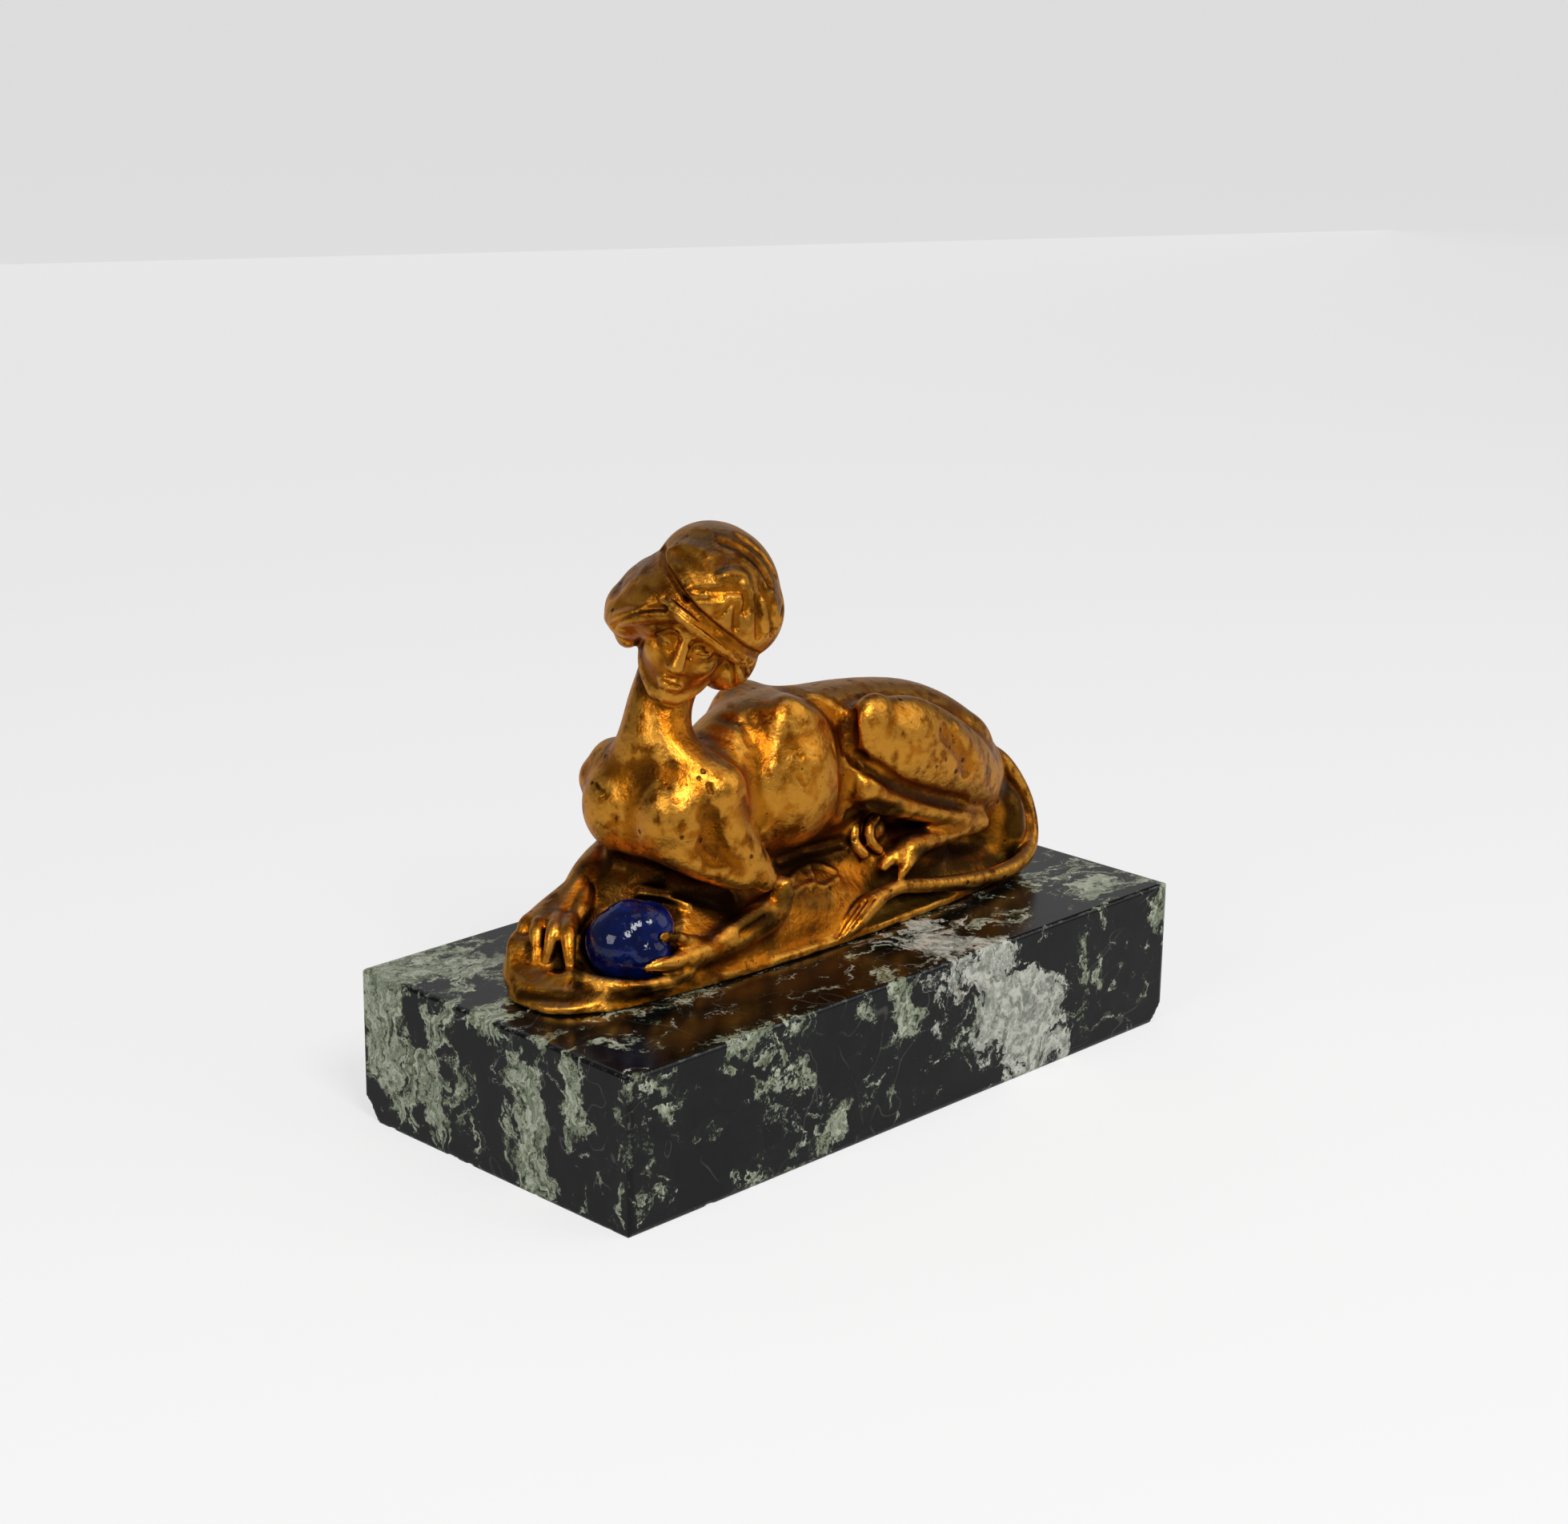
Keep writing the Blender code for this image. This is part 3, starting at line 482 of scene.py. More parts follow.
def nearHand(bm):
    limb(bm, [(10.8, -26.4, 5, 1.8, 2), (10.6, -29, 5.2, 2.2, 2.2), (10.8, -31.4, 5.2, 2.2, 2.1)])
    limb(bm, [(10.2, -28.6, 6.2, 1.4), (10.4, -31.2, 7.6, 1.2), (10.4, -33.6, 8.9, 1.05),
              (10.2, -35.8, 9.6, 0.9)])
    limb(bm, [(10.8, -30.4, 5.6, 1.5), (11.2, -34, 5.4, 1.45), (11, -37.2, 5.8, 1.3),
              (10.4, -38.8, 5.6, 1)])
    limb(bm, [(11.6, -31.6, 3.6, 1.2), (12, -35, 3, 1.1), (11.7, -38.2, 3.2, 1), (11.2, -39.6, 3.2, 0.8)])


def farArm(bm):
    limb(bm, [(-10.4, -28.6, 28, 3.2, 4), (-11.2, -25.2, 21, 3, 3.8), (-11.6, -21.4, 15.6, 2.6, 3)],
              lift=(0, -1, 0))
    limb(bm, [(-11.4, -21.4, 14.6, 2.4, 3), (-10.6, -27, 15, 2.6, 3), (-9, -32.6, 14, 2.4, 2.6),
              (-7.4, -37, 12.2, 2.1, 2.1)])


def farHand(bm):
    limb(bm, [(-7.6, -36.6, 12.2, 2.2, 2.1), (-7.4, -40.6, 10.4, 3, 1.9), (-7, -43.8, 9.2, 3.2, 1.7)])
    limb(bm, [(-9.2, -43.2, 9.4, 1.15), (-8.7, -45.8, 8.8, 1), (-7.6, -47.2, 6.6, 0.8)])
    limb(bm, [(-6.9, -43.6, 9.6, 1.3), (-5.4, -46.2, 8.8, 1.2), (-3.8, -47.8, 5.6, 0.9),
              (-3.2, -48.8, 3.4, 0.75)])
    limb(bm, [(-4.8, -42.6, 10, 1.25), (-2.7, -45.4, 9.4, 1.1), (-2.1, -46.8, 6.6, 0.85),
              (-2.5, -47.8, 3.6, 0.7)])
    limb(bm, [(-3.4, -41.4, 9.8, 1.3), (-1, -44, 9.2, 1.35), (0.6, -45.2, 7.2, 1.05),
              (1.6, -45.9, 4.6, 0.75)])
    limb(bm, [(-6.2, -35.8, 12.2, 1.6), (-4.2, -38.6, 10.6, 1.5), (-3, -41.2, 8.8, 1.2)])


# Head, laid out in its own frame: +x its left, -y the way it looks, +z its crown

def headFrame():
    yaw, pitch, lean = (math.radians(head[name]) for name in ("yaw", "pitch", "lean"))
    back = -Vector((math.sin(yaw) * math.cos(pitch), -math.cos(yaw) * math.cos(pitch), math.sin(pitch)))
    left = back.cross(Vector((0, 0, 1))).normalized()
    crown = left.cross(back)
    near, far = math.cos(lean), math.sin(lean)
    crown, left = crown * near + left * far, left * near - crown * far
    return Matrix.Translation(head["centre"]) @ Matrix((left, back, crown)).transposed().to_4x4()


def skull(bm):
    ball(bm, (0, 0.6, 1.6), (7.4, 8.8, 8.2))
    ball(bm, (0, -2.2, -1.8), (5.6, 6.3, 7.2))
    limb(bm, [(0, 3, -3, 5), (0.6, 3.6, -7, 4.8)])
    ball(bm, (0, -6.4, -8.4), (1.7, 1.9, 1.4))
    ball(bm, (0, -6, -5.8), (2.7, 2.1, 2.2))
    for side in (1, -1):
        ball(bm, (side * 3.2, -4.6, -2.2), (2.4, 2.8, 2.6))
        limb(bm, [(side * 4.9, 0.6, -3.8, 1.6), (side * 3.8, -2.8, -6.6, 1.5),
                  (side * 1.4, -6, -8.6, 1.4)])


def features(bm):
    limb(bm, [(0, -8, 2.6, 1.1, 0.5), (0, -8.35, 0.6, 0.85, 0.6), (0, -8.9, -1.2, 0.9, 0.7),
              (0, -9.3, -2.7, 1.05, 0.9)], lift=(0, -1, 0))
    limb(bm, [(-1.8, -7.7, -5.75, 0.3), (-0.7, -8.35, -5.35, 0.5), (0, -8.4, -5.5, 0.45),
              (0.7, -8.35, -5.35, 0.5), (1.8, -7.7, -5.75, 0.3)])
    limb(bm, [(-1.4, -7.7, -6.35, 0.35), (0, -8.25, -6.75, 0.6), (1.4, -7.7, -6.35, 0.35)])
    for side in (1, -1):
        ball(bm, (side * 0.85, -8.7, -3.2), (0.7, 0.8, 0.6))
        ball(bm, (side * 2.7, -6.7, 0.1), (1.5, 1.25, 1.05))
        limb(bm, [(side * 1.1, -8.2, 2.3, 0.5, 0.45), (side * 3, -7.9, 3, 0.5, 0.45),
                  (side * 4.8, -6.4, 2.4, 0.45)], lift=(0, -1, 0))
        limb(bm, [(side * 1.4, -7.5, -0.1, 0.22), (side * 2.7, -8, -0.25, 0.26),
                  (side * 4.1, -6.9, 0.1, 0.22)])
        ball(bm, (side * 6, 0.6, -1.4), (0.8, 1.7, 2.3), (-12, 0, 0))


def turban(bm):
    ball(bm, (1.6, 1.6, 7.4), (9.8, 11, 8.4), (0, 22, 0))
    ball(bm, (4.6, 1.6, 5.2), (8.2, 10.6, 7.2), (0, 24, 0))
    ball(bm, (-4.6, 1.2, 3.6), (7.8, 10.4, 6), (0, -34, 0))
    ball(bm, (-9, 0.4, -0.4), (3.8, 7.4, 3.9), (0, -40, 0))


def nape(bm):
    ball(bm, (6.8, 3.4, -3.8), (4.4, 5.2, 5), (0, 20, 0))
    ball(bm, (0, 6, -1), (7.4, 5, 5.4))
    ball(bm, (-8.2, 0.4, -3.4), (2.2, 4.4, 2.8), (0, -20, 0))


def wraps(bm):
    limb(bm, [(-6.6, -7.2, 6.2, 0.5), (-2.4, -9.4, 5.4, 0.9), (2, -9.4, 3.6, 0.95), (6.4, -7.8, 1.8, 1),
              (9.4, -4.2, 0.2, 1.1), (10, 0.4, -0.6, 0.8), (8.8, 4, -1, 0.5)])
    limb(bm, [(-11, 3, -1.8, 1.3), (-10.8, -3, -1.4, 1.4), (-8.6, -7.4, 1.4, 1.3), (-5.2, -9, 3.8, 1),
              (-1.6, -9, 4.6, 0.7)])


# Folds on the turban's far side, in the head's own frame, with reach and height
backFolds = [([(-9 + 3 * k, 9 - 0.5 * k, 9 + 1.5 * k), (-6 + 3 * k, 13, 4 + k),
               (-2 + 2.4 * k, 12, -1 + 0.6 * k)], 1.6, -0.55) for k in range(5)]
backFolds += [([(-12, -2, 2 + 2.2 * k), (-11 + k, 5, 5 + 2.2 * k),
                (-6 + k, 11, 7 + 1.6 * k)], 1.5, -0.5) for k in range(3)]


def buildHead():
    made = clay("head", [skull])
    melt(made, head["roughVoxel"])
    relax(made, head["skullRounds"])
    tree = treeOf(made)
    sockets = [snap(tree, [(side * 1.9, -8.0, 0.5), (side * 3.9, -7.2, 0.3)]) for side in (1, -1)]
    carve(made, [(line, 2.1, -1.0) for line in sockets])
    clay("head", [features], made)
    melt(made, head["fineVoxel"])
    relax(made, head["faceRounds"], 0.6, 0.05)
    cloth = clay("cloth", [turban, nape])
    melt(cloth, head["roughVoxel"])
    relax(cloth, head["clothRounds"])
    tree = treeOf(cloth)
    carve(cloth, [(snap(tree, line), reach, height) for line, reach, height in backFolds])
    absorb(made, cloth)
    melt(made, head["fineVoxel"])
    relax(made, head["lastRounds"], 0.6, 0.05)
    clay("head", [wraps], made)
    made.data.transform(headFrame())
    return made


def faceStrokes(tree):
    # the line of the lips, the chin, the lids and the nostrils, cut last so that they stay crisp
    lines = [([(-1.8, -9, -6.1), (-0.6, -9.5, -6.0), (0, -9.5, -6.08), (0.6, -9.5, -6.0),
               (1.8, -9, -6.1)], 0.55, -0.38),
             ([(-1.2, -9.0, -7.7), (0, -9.2, -7.8), (1.2, -9.0, -7.7)], 0.9, -0.25)]
    for side in (1, -1):
        for line, reach, height in (
                ([(1.3, -8.6, 1.0), (2.7, -9.0, 1.4), (4.2, -7.6, 0.9)], 0.6, -0.34),
                ([(1.4, -8.6, -0.55), (2.7, -9.0, -0.75), (4.1, -7.6, -0.3)], 0.5, -0.30),
                ([(0.75, -9.6, -3.9), (0.95, -9.4, -3.7)], 0.5, -0.35),
                ([(1.7, -9.0, -2.6), (1.9, -9.0, -3.4)], 0.5, -0.2)):
            lines.append(([(side * x, y, z) for x, y, z in line], reach, height))
    turned = headFrame()
    lines = [([turned @ Vector(spot) for spot in line], reach, height) for line, reach, height in lines]
    return [(snap(tree, line, 0.2), reach, height) for line, reach, height in lines]


# Strokes on the body, seen from the photo's side, as photo pixels, then reach and height

bodyStrokes = {
    "thighGroove": ([(1075, 950), (1100, 966), (1130, 985), (1160, 993), (1200, 1002)], 2.2, -0.85),
    "haunchFront": ([(1064, 893), (1062, 915), (1066, 935), (1075, 950)], 1.8, -0.8),
    "rearGroove": ([(1180, 915), (1197, 937), (1208, 960)], 2.2, -0.4),
    "rearRidge": ([(1196, 908), (1214, 932), (1226, 960)], 2.0, 0.3),
    "valley": ([(985, 860), (1010, 872), (1035, 888), (1052, 915), (1056, 960), (1058, 1005)], 3.0, -0.9),
    "ribValley": ([(945, 905), (948, 940), (946, 975), (950, 1020)], 3.4, -0.7),
    "underBelly": ([(975, 1075), (1010, 1062), (1050, 1052)], 1.6, -0.7),
    "armHollow": ([(880, 1026), (886, 1046), (892, 1070)], 3.2, -0.45),
    "elbowCrease": ([(930, 1000), (945, 1035), (958, 1068)], 1.2, -0.3),
    "breastBone": ([(800, 960), (794, 1000), (790, 1040)], 3.4, -0.3),
    "tuft1": ([(1082, 1125), (1068, 1145), (1054, 1166)], 0.6, -0.35),
    "tuft2": ([(1092, 1122), (1080, 1142), (1066, 1160)], 0.6, -0.35),
    "tuft3": ([(1072, 1130), (1058, 1150), (1045, 1170)], 0.6, -0.35),
    "knot1": ([(984, 1102), (1000, 1086), (1020, 1080), (1042, 1088)], 1.0, 0.3),
    "knot2": ([(990, 1117), (1010, 1105), (1030, 1108), (1046, 1098)], 1.0, 0.3),
    "knot3": ([(1010, 1083), (1016, 1098), (1012, 1112)], 0.8, 0.25),
    "seatRidge": ([(800, 1116), (830, 1120), (858, 1131)], 1.3, 0.7),
    "underBust": ([(780, 1080), (820, 1090), (860, 1106), (900, 1124)], 3.0, -1.2),
    "pawHollow": ([(1062, 1016), (1085, 1006), (1112, 1012)], 1.6, -0.7),
    "forearmEdge": ([(928, 1166), (942, 1157), (956, 1148)], 1.0, -0.5),
    "spineEdge": ([(905, 897), (925, 905), (940, 925)], 1.6, -0.4),
    "scar1": ([(745, 980), (755, 992)], 1.1, -0.25),
    "scar2": ([(832, 978), (835, 983)], 0.7, -0.2),
    "scar3": ([(996, 938), (1001, 946)], 0.8, -0.2),
    "scar4": ([(998, 970), (1004, 980)], 0.9, -0.2),
    "scar5": ([(1040, 932), (1044, 944)], 0.8, -0.2),
    "scar6": ([(886, 982), (889, 990)], 0.7, -0.2),
}


turbanStrokes = {
    "overlap": ([(828, 684), (830, 704), (839, 719), (848, 734), (857, 747)], 1.0, -0.8),
    "overlapLip": ([(836, 690), (838, 702), (846, 715), (855, 729), (864, 742)], 1.3, 0.45),
    "bandTop": ([(857, 747), (867, 760), (883, 774), (898, 787), (916, 800), (931, 811), (947, 817),
                 (960, 817)], 0.9, -0.55),
    "bandFoot": ([(830, 747), (840, 757), (857, 770), (874, 782), (890, 794), (907, 807),
                  (931, 826)], 0.7, -0.3),
    "wrapFold": ([(764, 783), (778, 771), (798, 763), (815, 760), (830, 760)], 0.7, -0.4),
    "creaseLong": ([(866, 740), (890, 739), (922, 738)], 1.0, -0.55),
    "creaseLow": ([(868, 747), (885, 748), (903, 747)], 0.8, -0.35),
    "creaseLip": ([(859, 737), (868, 743), (880, 743)], 0.9, 0.35),
    "foldA": ([(931, 742), (933, 752), (930, 764)], 0.9, -0.5),
    "foldB": ([(945, 748), (948, 765), (949, 780), (949, 794)], 1.1, -0.75),
    "foldC": ([(953, 730), (959, 750), (963, 770), (966, 790)], 1.1, -0.75),
    "foldD": ([(922, 756), (920, 768), (919, 784)], 0.9, -0.5),
    "foldE": ([(913, 754), (904, 764), (896, 770)], 0.9, -0.4),
    "foldF": ([(975, 735), (979, 755), (976, 775)], 1.0, -0.6),
    "lipA": ([(938, 742), (940, 756), (938, 770), (936, 785)], 1.1, 0.4),
    "lipB": ([(953, 752), (956, 770), (957, 788)], 1.1, 0.4),
    "lipC": ([(966, 742), (970, 760), (971, 780)], 1.1, 0.35),
    "gather": ([(905, 719), (916, 717), (928, 720), (932, 730)], 1.5, 0.5),
    "crownA": ([(922, 669), (939, 681), (956, 697), (968, 716)], 1.1, -0.4),
    "crownB": ([(905, 676), (929, 689), (949, 707), (962, 729)], 1.2, -0.4),
    "crownC": ([(850, 668), (880, 672), (905, 690)], 2.4, -0.35),
    "crownD": ([(848, 692), (870, 698), (900, 704)], 2.0, -0.3),
    "tuck": ([(768, 792), (776, 798), (784, 803)], 0.8, -0.4),
    "lockA": ([(922, 822), (930, 836), (934, 848)], 0.8, -0.4),
    "lockB": ([(936, 826), (941, 838)], 0.8, -0.4),
    "lockC": ([(908, 826), (916, 842), (918, 858)], 0.8, -0.4),
}


# Painted shade in the recesses, grooves and under overhangs: photo pixels, reach and strength
shadeLines = [
    ([(770, 1085), (800, 1092), (840, 1100), (880, 1112), (905, 1125)], 4.2, 1.0),
    ([(745, 1090), (760, 1110), (772, 1125)], 4.0, 0.9),
    ([(885, 1135), (920, 1145), (960, 1150)], 3.0, 0.8),
    ([(985, 1122), (1030, 1122)], 3.6, 0.6),
    ([(975, 1088), (1010, 1074), (1050, 1060)], 3.0, 0.9),
    ([(1062, 1020), (1085, 1010), (1115, 1015)], 3.0, 0.9),
    ([(1255, 985), (1268, 1010), (1270, 1035)], 3.0, 0.9),
    ([(1150, 1064), (1190, 1066), (1225, 1052)], 2.0, 0.7),
    ([(650, 1243), (700, 1245), (760, 1245), (830, 1240)], 1.5, 0.8),
    ([(700, 1190), (698, 1212)], 1.3, 0.9),
    ([(735, 1200), (728, 1170), (745, 1140), (780, 1125), (830, 1128), (845, 1150), (842, 1175)], 1.5, 0.9),
    ([(722, 1205), (722, 1232)], 1.3, 0.9),
    ([(661, 1182), (660, 1200)], 1.1, 0.8),
    ([(795, 1238), (808, 1238)], 1.5, 0.9),
    ([(845, 1222), (868, 1226)], 1.5, 0.7),
    ([(1110, 1125), (1180, 1112), (1240, 1110)], 1.2, 0.6),
    ([(790, 768), (812, 762), (835, 765)], 1.5, 0.45),
    ([(905, 905), (930, 890), (960, 880)], 3.4, 0.4),
    ([(1075, 958), (1110, 980), (1160, 1000), (1200, 1008)], 1.5, 0.8)]


def paintShadeLines(made, tree):
    # painted shade, strongest on each line and fading to nothing at its reach
    places = readPlaces(made.data)
    paintedShade = np.zeros(len(places))
    for pixels, reach, strength in shadeLines:
        near, gap = nearLine(places, fromPhoto(tree, pixels), reach)
        paintedShade[near] = np.maximum(paintedShade[near], strength * np.clip(1.0 - (gap / reach) ** 2, 0.0, 1.0))
    paint(made, "paintedShade", paintedShade)


def pressSeat(made):
    # a narrow dark gap all round the stone, then every point moved out of it, as the CAD's seat is
    places, facing = readPlaces(made.data), readNormals(made.data)
    gaps = [np.linalg.norm(places - np.array(centre), axis=1) - radius for centre, radius in stone["lobes"]]
    near = np.clip(1.0 - np.abs(np.min(gaps, axis=0)) / stone["grooveReach"], 0.0, 1.0)
    places -= facing * (stone["groove"] * near)[:, None]
    for _ in range(8):
        for centre, radius in stone["lobes"]:
            away = places - np.array(centre)
            far = np.linalg.norm(away, axis=1, keepdims=True)
            places += away / far * np.maximum(radius + stone["room"] - far, 0.0)
    writePlaces(made.data, places)


def buildCasting(look):
    made = clay("bronze_casting", [ground, torso, bust])
    melt(made, casting["roughVoxel"])
    relax(made, casting["bodyRounds"])
    clay("bronze_casting", [foot, frontRim, hindLegs, nearArm, farArm], made)
    melt(made, casting["roughVoxel"])
    relax(made, casting["limbRounds"])
    clay("bronze_casting", [otherPaw, tail, nearHand, farHand], made)
    absorb(made, buildHead())
    melt(made, casting["fineVoxel"])
    relax(made, casting["lastRounds"], 0.7, 0.2)
    print("casting melted", len(made.data.vertices))
    keepLargest(made)
    tree = treeOf(made)
    strokes = [*bodyStrokes.values(), *turbanStrokes.values()]
    carve(made, [(fromPhoto(tree, line), reach, height) for line, reach, height in strokes])
    carve(made, faceStrokes(tree))
    pressSeat(made)
    print("casting carved")
    thin(made, casting["triangles"])
    cutLevel(made, casting["gap"])
    paintShadeLines(made, treeOf(made))
    paintCrests(made)
    paintShelter(made)
    print("casting painted")
    place(made, look, "bronze_sphinx")
    print("casting ready", len(made.data.polygons))


# Stone

def stoneForms(bm):
    for centre, radius in stone["lobes"]:
        ball(bm, centre, (radius, radius, radius))


def buildStone(look):
    made = clay("polished_stone", [stoneForms])
    melt(made, stone["voxel"])
    relax(made, stone["rounds"])
    place(made, look, "blue_stone")
    print("stone ready", len(made.data.polygons))


# Materials: a socket is fed by a value or by another socket

def addNode(tree, kind, feeds, **settings):
    made = tree.nodes.new("ShaderNode" + kind)
    for name, value in settings.items():
        setattr(made, name, value)
    for socket, value in feeds.items():
        if isinstance(value, bpy.types.NodeSocket):
            tree.links.new(value, made.inputs[socket])
        else:
            made.inputs[socket].default_value = value
    return made


def reckon(tree, kind, a, b=0.0, c=0.0):
    return addNode(tree, "Math", {0: a, 1: b, 2: c}, operation=kind).outputs[0]


def times(tree, a, b):
    return reckon(tree, "MULTIPLY", a, b)


def wavering(tree, value, ripple, share):
    # the value with a share of noise added about its middle
    return reckon(tree, "ADD", value, times(tree, reckon(tree, "SUBTRACT", ripple, 0.5), share))


def fade(tree, value, start, end):
    # 0 at start, 1 at end
    feeds = {"Value": value, "From Min": start, "From Max": end}
    return addNode(tree, "MapRange", feeds, interpolation_type="SMOOTHSTEP").outputs["Result"]


def tint(tree, mask, low, high):
    low, high = [c if isinstance(c, bpy.types.NodeSocket) else (*c, 1.0) for c in (low, high)]
    return addNode(tree, "Mix", {0: mask, 6: low, 7: high}, data_type="RGBA").outputs[2]


def cloud(tree, spot, scale, detail=3.0, rough=0.55, twist=0.0):
    feeds = {"Vector": spot, "Scale": scale, "Detail": detail, "Roughness": rough, "Distortion": twist}
    return addNode(tree, "TexNoise", feeds).outputs[0]


def millimetres(tree):
    spot = addNode(tree, "TexCoord", {}).outputs["Object"]
    return addNode(tree, "Mapping", {"Vector": spot, "Scale": [1 / mm] * 3}).outputs[0]


def painted(tree, name):
    return addNode(tree, "Attribute", {}, attribute_name=name).outputs["Fac"]


def newMaterial(name):
    made = bpy.data.materials.new(name)
    made.use_nodes = True
    return made, made.node_tree, made.node_tree.nodes["Principled BSDF"]


def newGroup(name, inputs, outputs):
    group = bpy.data.node_groups.new(name, "ShaderNodeTree")
    for label, kind in inputs.items():
        group.interface.new_socket(label, in_out="INPUT", socket_type="NodeSocket" + kind)
    for label, kind in outputs.items():
        group.interface.new_socket(label, in_out="OUTPUT", socket_type="NodeSocket" + kind)
    return group, group.nodes.new("NodeGroupInput").outputs, group.nodes.new("NodeGroupOutput").inputs


def makeSpeckle():
    # scattered round specks, one in some of the cells
    floats = dict.fromkeys(("Scale", "Size", "Share"), "Float")
    group, given, out = newGroup("speckle", {"Vector": "Vector", **floats}, {"Mask": "Float"})
    feeds = {"Vector": given["Vector"], "Scale": given["Scale"]}
    cells = addNode(group, "TexVoronoi", feeds).outputs
    near = fade(group, cells["Distance"], given["Size"], reckon(group, "MULTIPLY", given["Size"], 0.4))
    pick = addNode(group, "SeparateColor", {0: cells["Color"]}).outputs[0]
    chosen = reckon(group, "LESS_THAN", pick, given["Share"])
    group.links.new(reckon(group, "MULTIPLY", near, chosen), out["Mask"])
    return group


def specks(tree, group, spot, scale, size, share):
    made = tree.nodes.new("ShaderNodeGroup")
    made.node_tree = group
    tree.links.new(spot, made.inputs["Vector"])
    for name, value in (("Scale", scale), ("Size", size), ("Share", share)):
        made.inputs[name].default_value = value
    return made.outputs["Mask"]


def dress(tree, shader, colour, rough, height):
    # height in millimetres
    tree.links.new(colour, shader.inputs["Base Color"])
    tree.links.new(rough, shader.inputs["Roughness"])
    bump = addNode(tree, "Bump", {"Height": height, "Distance": mm})
    tree.links.new(bump.outputs[0], shader.inputs["Normal"])


# the soot colour serves both real dark spots and painted shade; the grey one is a painted sheen of light on
# surfaces that face up
gilding = {"gold": (0.70, 0.240, 0.014), "amber": (0.40, 0.112, 0.005), "worn": (0.98, 0.44, 0.055),
           "brown": (0.095, 0.030, 0.005), "red": (0.055, 0.005, 0.002), "olive": (0.085, 0.044, 0.005),
           "topSheen": (0.34, 0.225, 0.150), "sootAndShade": (0.030, 0.012, 0.003)}


def makeBronze(speckle):
    made, tree, shader = newMaterial("giltBronze")
    spot = millimetres(tree)
    broad, middle = cloud(tree, spot, 0.11), cloud(tree, spot, 0.45, 4.0)
    hollow, crest, paintedShade = painted(tree, "hollow"), painted(tree, "crest"), painted(tree, "paintedShade")
    facing = addNode(tree, "NewGeometry", {}).outputs["Normal"]
    rise = addNode(tree, "SeparateXYZ", {0: facing}).outputs[2]
    level = addNode(tree, "SeparateXYZ", {0: spot}).outputs[2]
    blotch = fade(tree, cloud(tree, spot, 0.16, 6.0, 0.62, 0.5), 0.50, 0.66)
    stain = fade(tree, cloud(tree, spot, 0.30, 7.0, 0.72), 0.59, 0.66)
    core = fade(tree, cloud(tree, spot, 0.24, 6.0, 0.68, 0.4), 0.63, 0.68)
    rubbed = times(tree, fade(tree, crest, 0.54, 0.74), fade(tree, middle, 0.34, 0.56))
    crown = times(tree, fade(tree, level, 70.0, 88.0), fade(tree, broad, 0.66, 0.36))
    # painted sheen: a paler grey where the surface faces up, the reflection of the light from above
    topSheen = times(tree, fade(tree, rise, 0.70, 0.98), fade(tree, middle, 0.30, 0.66))
    shade = wavering(tree, hollow, middle, 0.55)
    shade = reckon(tree, "SUBTRACT", shade, times(tree, fade(tree, crest, 0.54, 0.90), 0.30))
    low = times(tree, fade(tree, level, 36.0, 27.0), fade(tree, shade, 0.18, 0.42))
    # painted shade in recesses and under overhangs, from the listed shade lines
    shadeWash = fade(tree, wavering(tree, paintedShade, middle, 0.6), 0.15, 0.75)
    pits, dots = specks(tree, speckle, spot, 0.32, 0.17, 0.42), specks(tree, speckle, spot, 0.8, 0.17, 0.14)
    marks = reckon(tree, "MAXIMUM", pits, times(tree, dots, 0.6))
    # each layer's colour, where it lies and how much it covers
    layers = (("brown", blotch, 0.72), ("brown", stain, 0.85), ("sootAndShade", core, 0.8), ("worn", rubbed, 0.85),
              ("brown", crown, 0.8), ("topSheen", topSheen, 0.75), ("brown", fade(tree, shade, 0.27, 0.62), 0.92),
              ("olive", low, 0.9), ("red", fade(tree, shade, 0.62, 0.86), 1.0), ("sootAndShade", shadeWash, 0.88),
              ("sootAndShade", marks, 0.85))
    colour = tint(tree, fade(tree, broad, 0.38, 0.62), gilding["amber"], gilding["gold"])
    for name, mask, share in layers:
        colour = tint(tree, times(tree, mask, share), colour, gilding[name])
    rough = reckon(tree, "MULTIPLY_ADD", middle, 0.18, 0.27)
    rough = reckon(tree, "ADD", rough, times(tree, fade(tree, shade, 0.3, 0.8), 0.22))
    height = times(tree, cloud(tree, spot, 0.7, 2.0), 0.16)
    height = reckon(tree, "ADD", height, times(tree, cloud(tree, spot, 1.9, 4.0), 0.05))
    height = reckon(tree, "SUBTRACT", height, times(tree, marks, 0.10))
    dress(tree, shader, colour, rough, height)
    shader.inputs["Metallic"].default_value = 1.0
    return made


def makeBlue(speckle):
    made, tree, shader = newMaterial("blueStone")
    spot = millimetres(tree)
    veil = fade(tree, cloud(tree, spot, 0.22, 4.0, 0.6, 0.6), 0.40, 0.72)
    colour = tint(tree, veil, (0.0003, 0.0040, 0.052), (0.0016, 0.015, 0.16))
    pale = times(tree, fade(tree, cloud(tree, spot, 0.5, 5.0), 0.60, 0.74), 0.35)
    colour = tint(tree, pale, colour, (0.05, 0.07, 0.13))
    colour = tint(tree, specks(tree, speckle, spot, 1.1, 0.14, 0.12), colour, (0.16, 0.13, 0.08))
    rough = reckon(tree, "MULTIPLY_ADD", veil, 0.08, 0.07)
    dress(tree, shader, colour, rough, times(tree, cloud(tree, spot, 0.4, 3.0), 0.20))
    return made


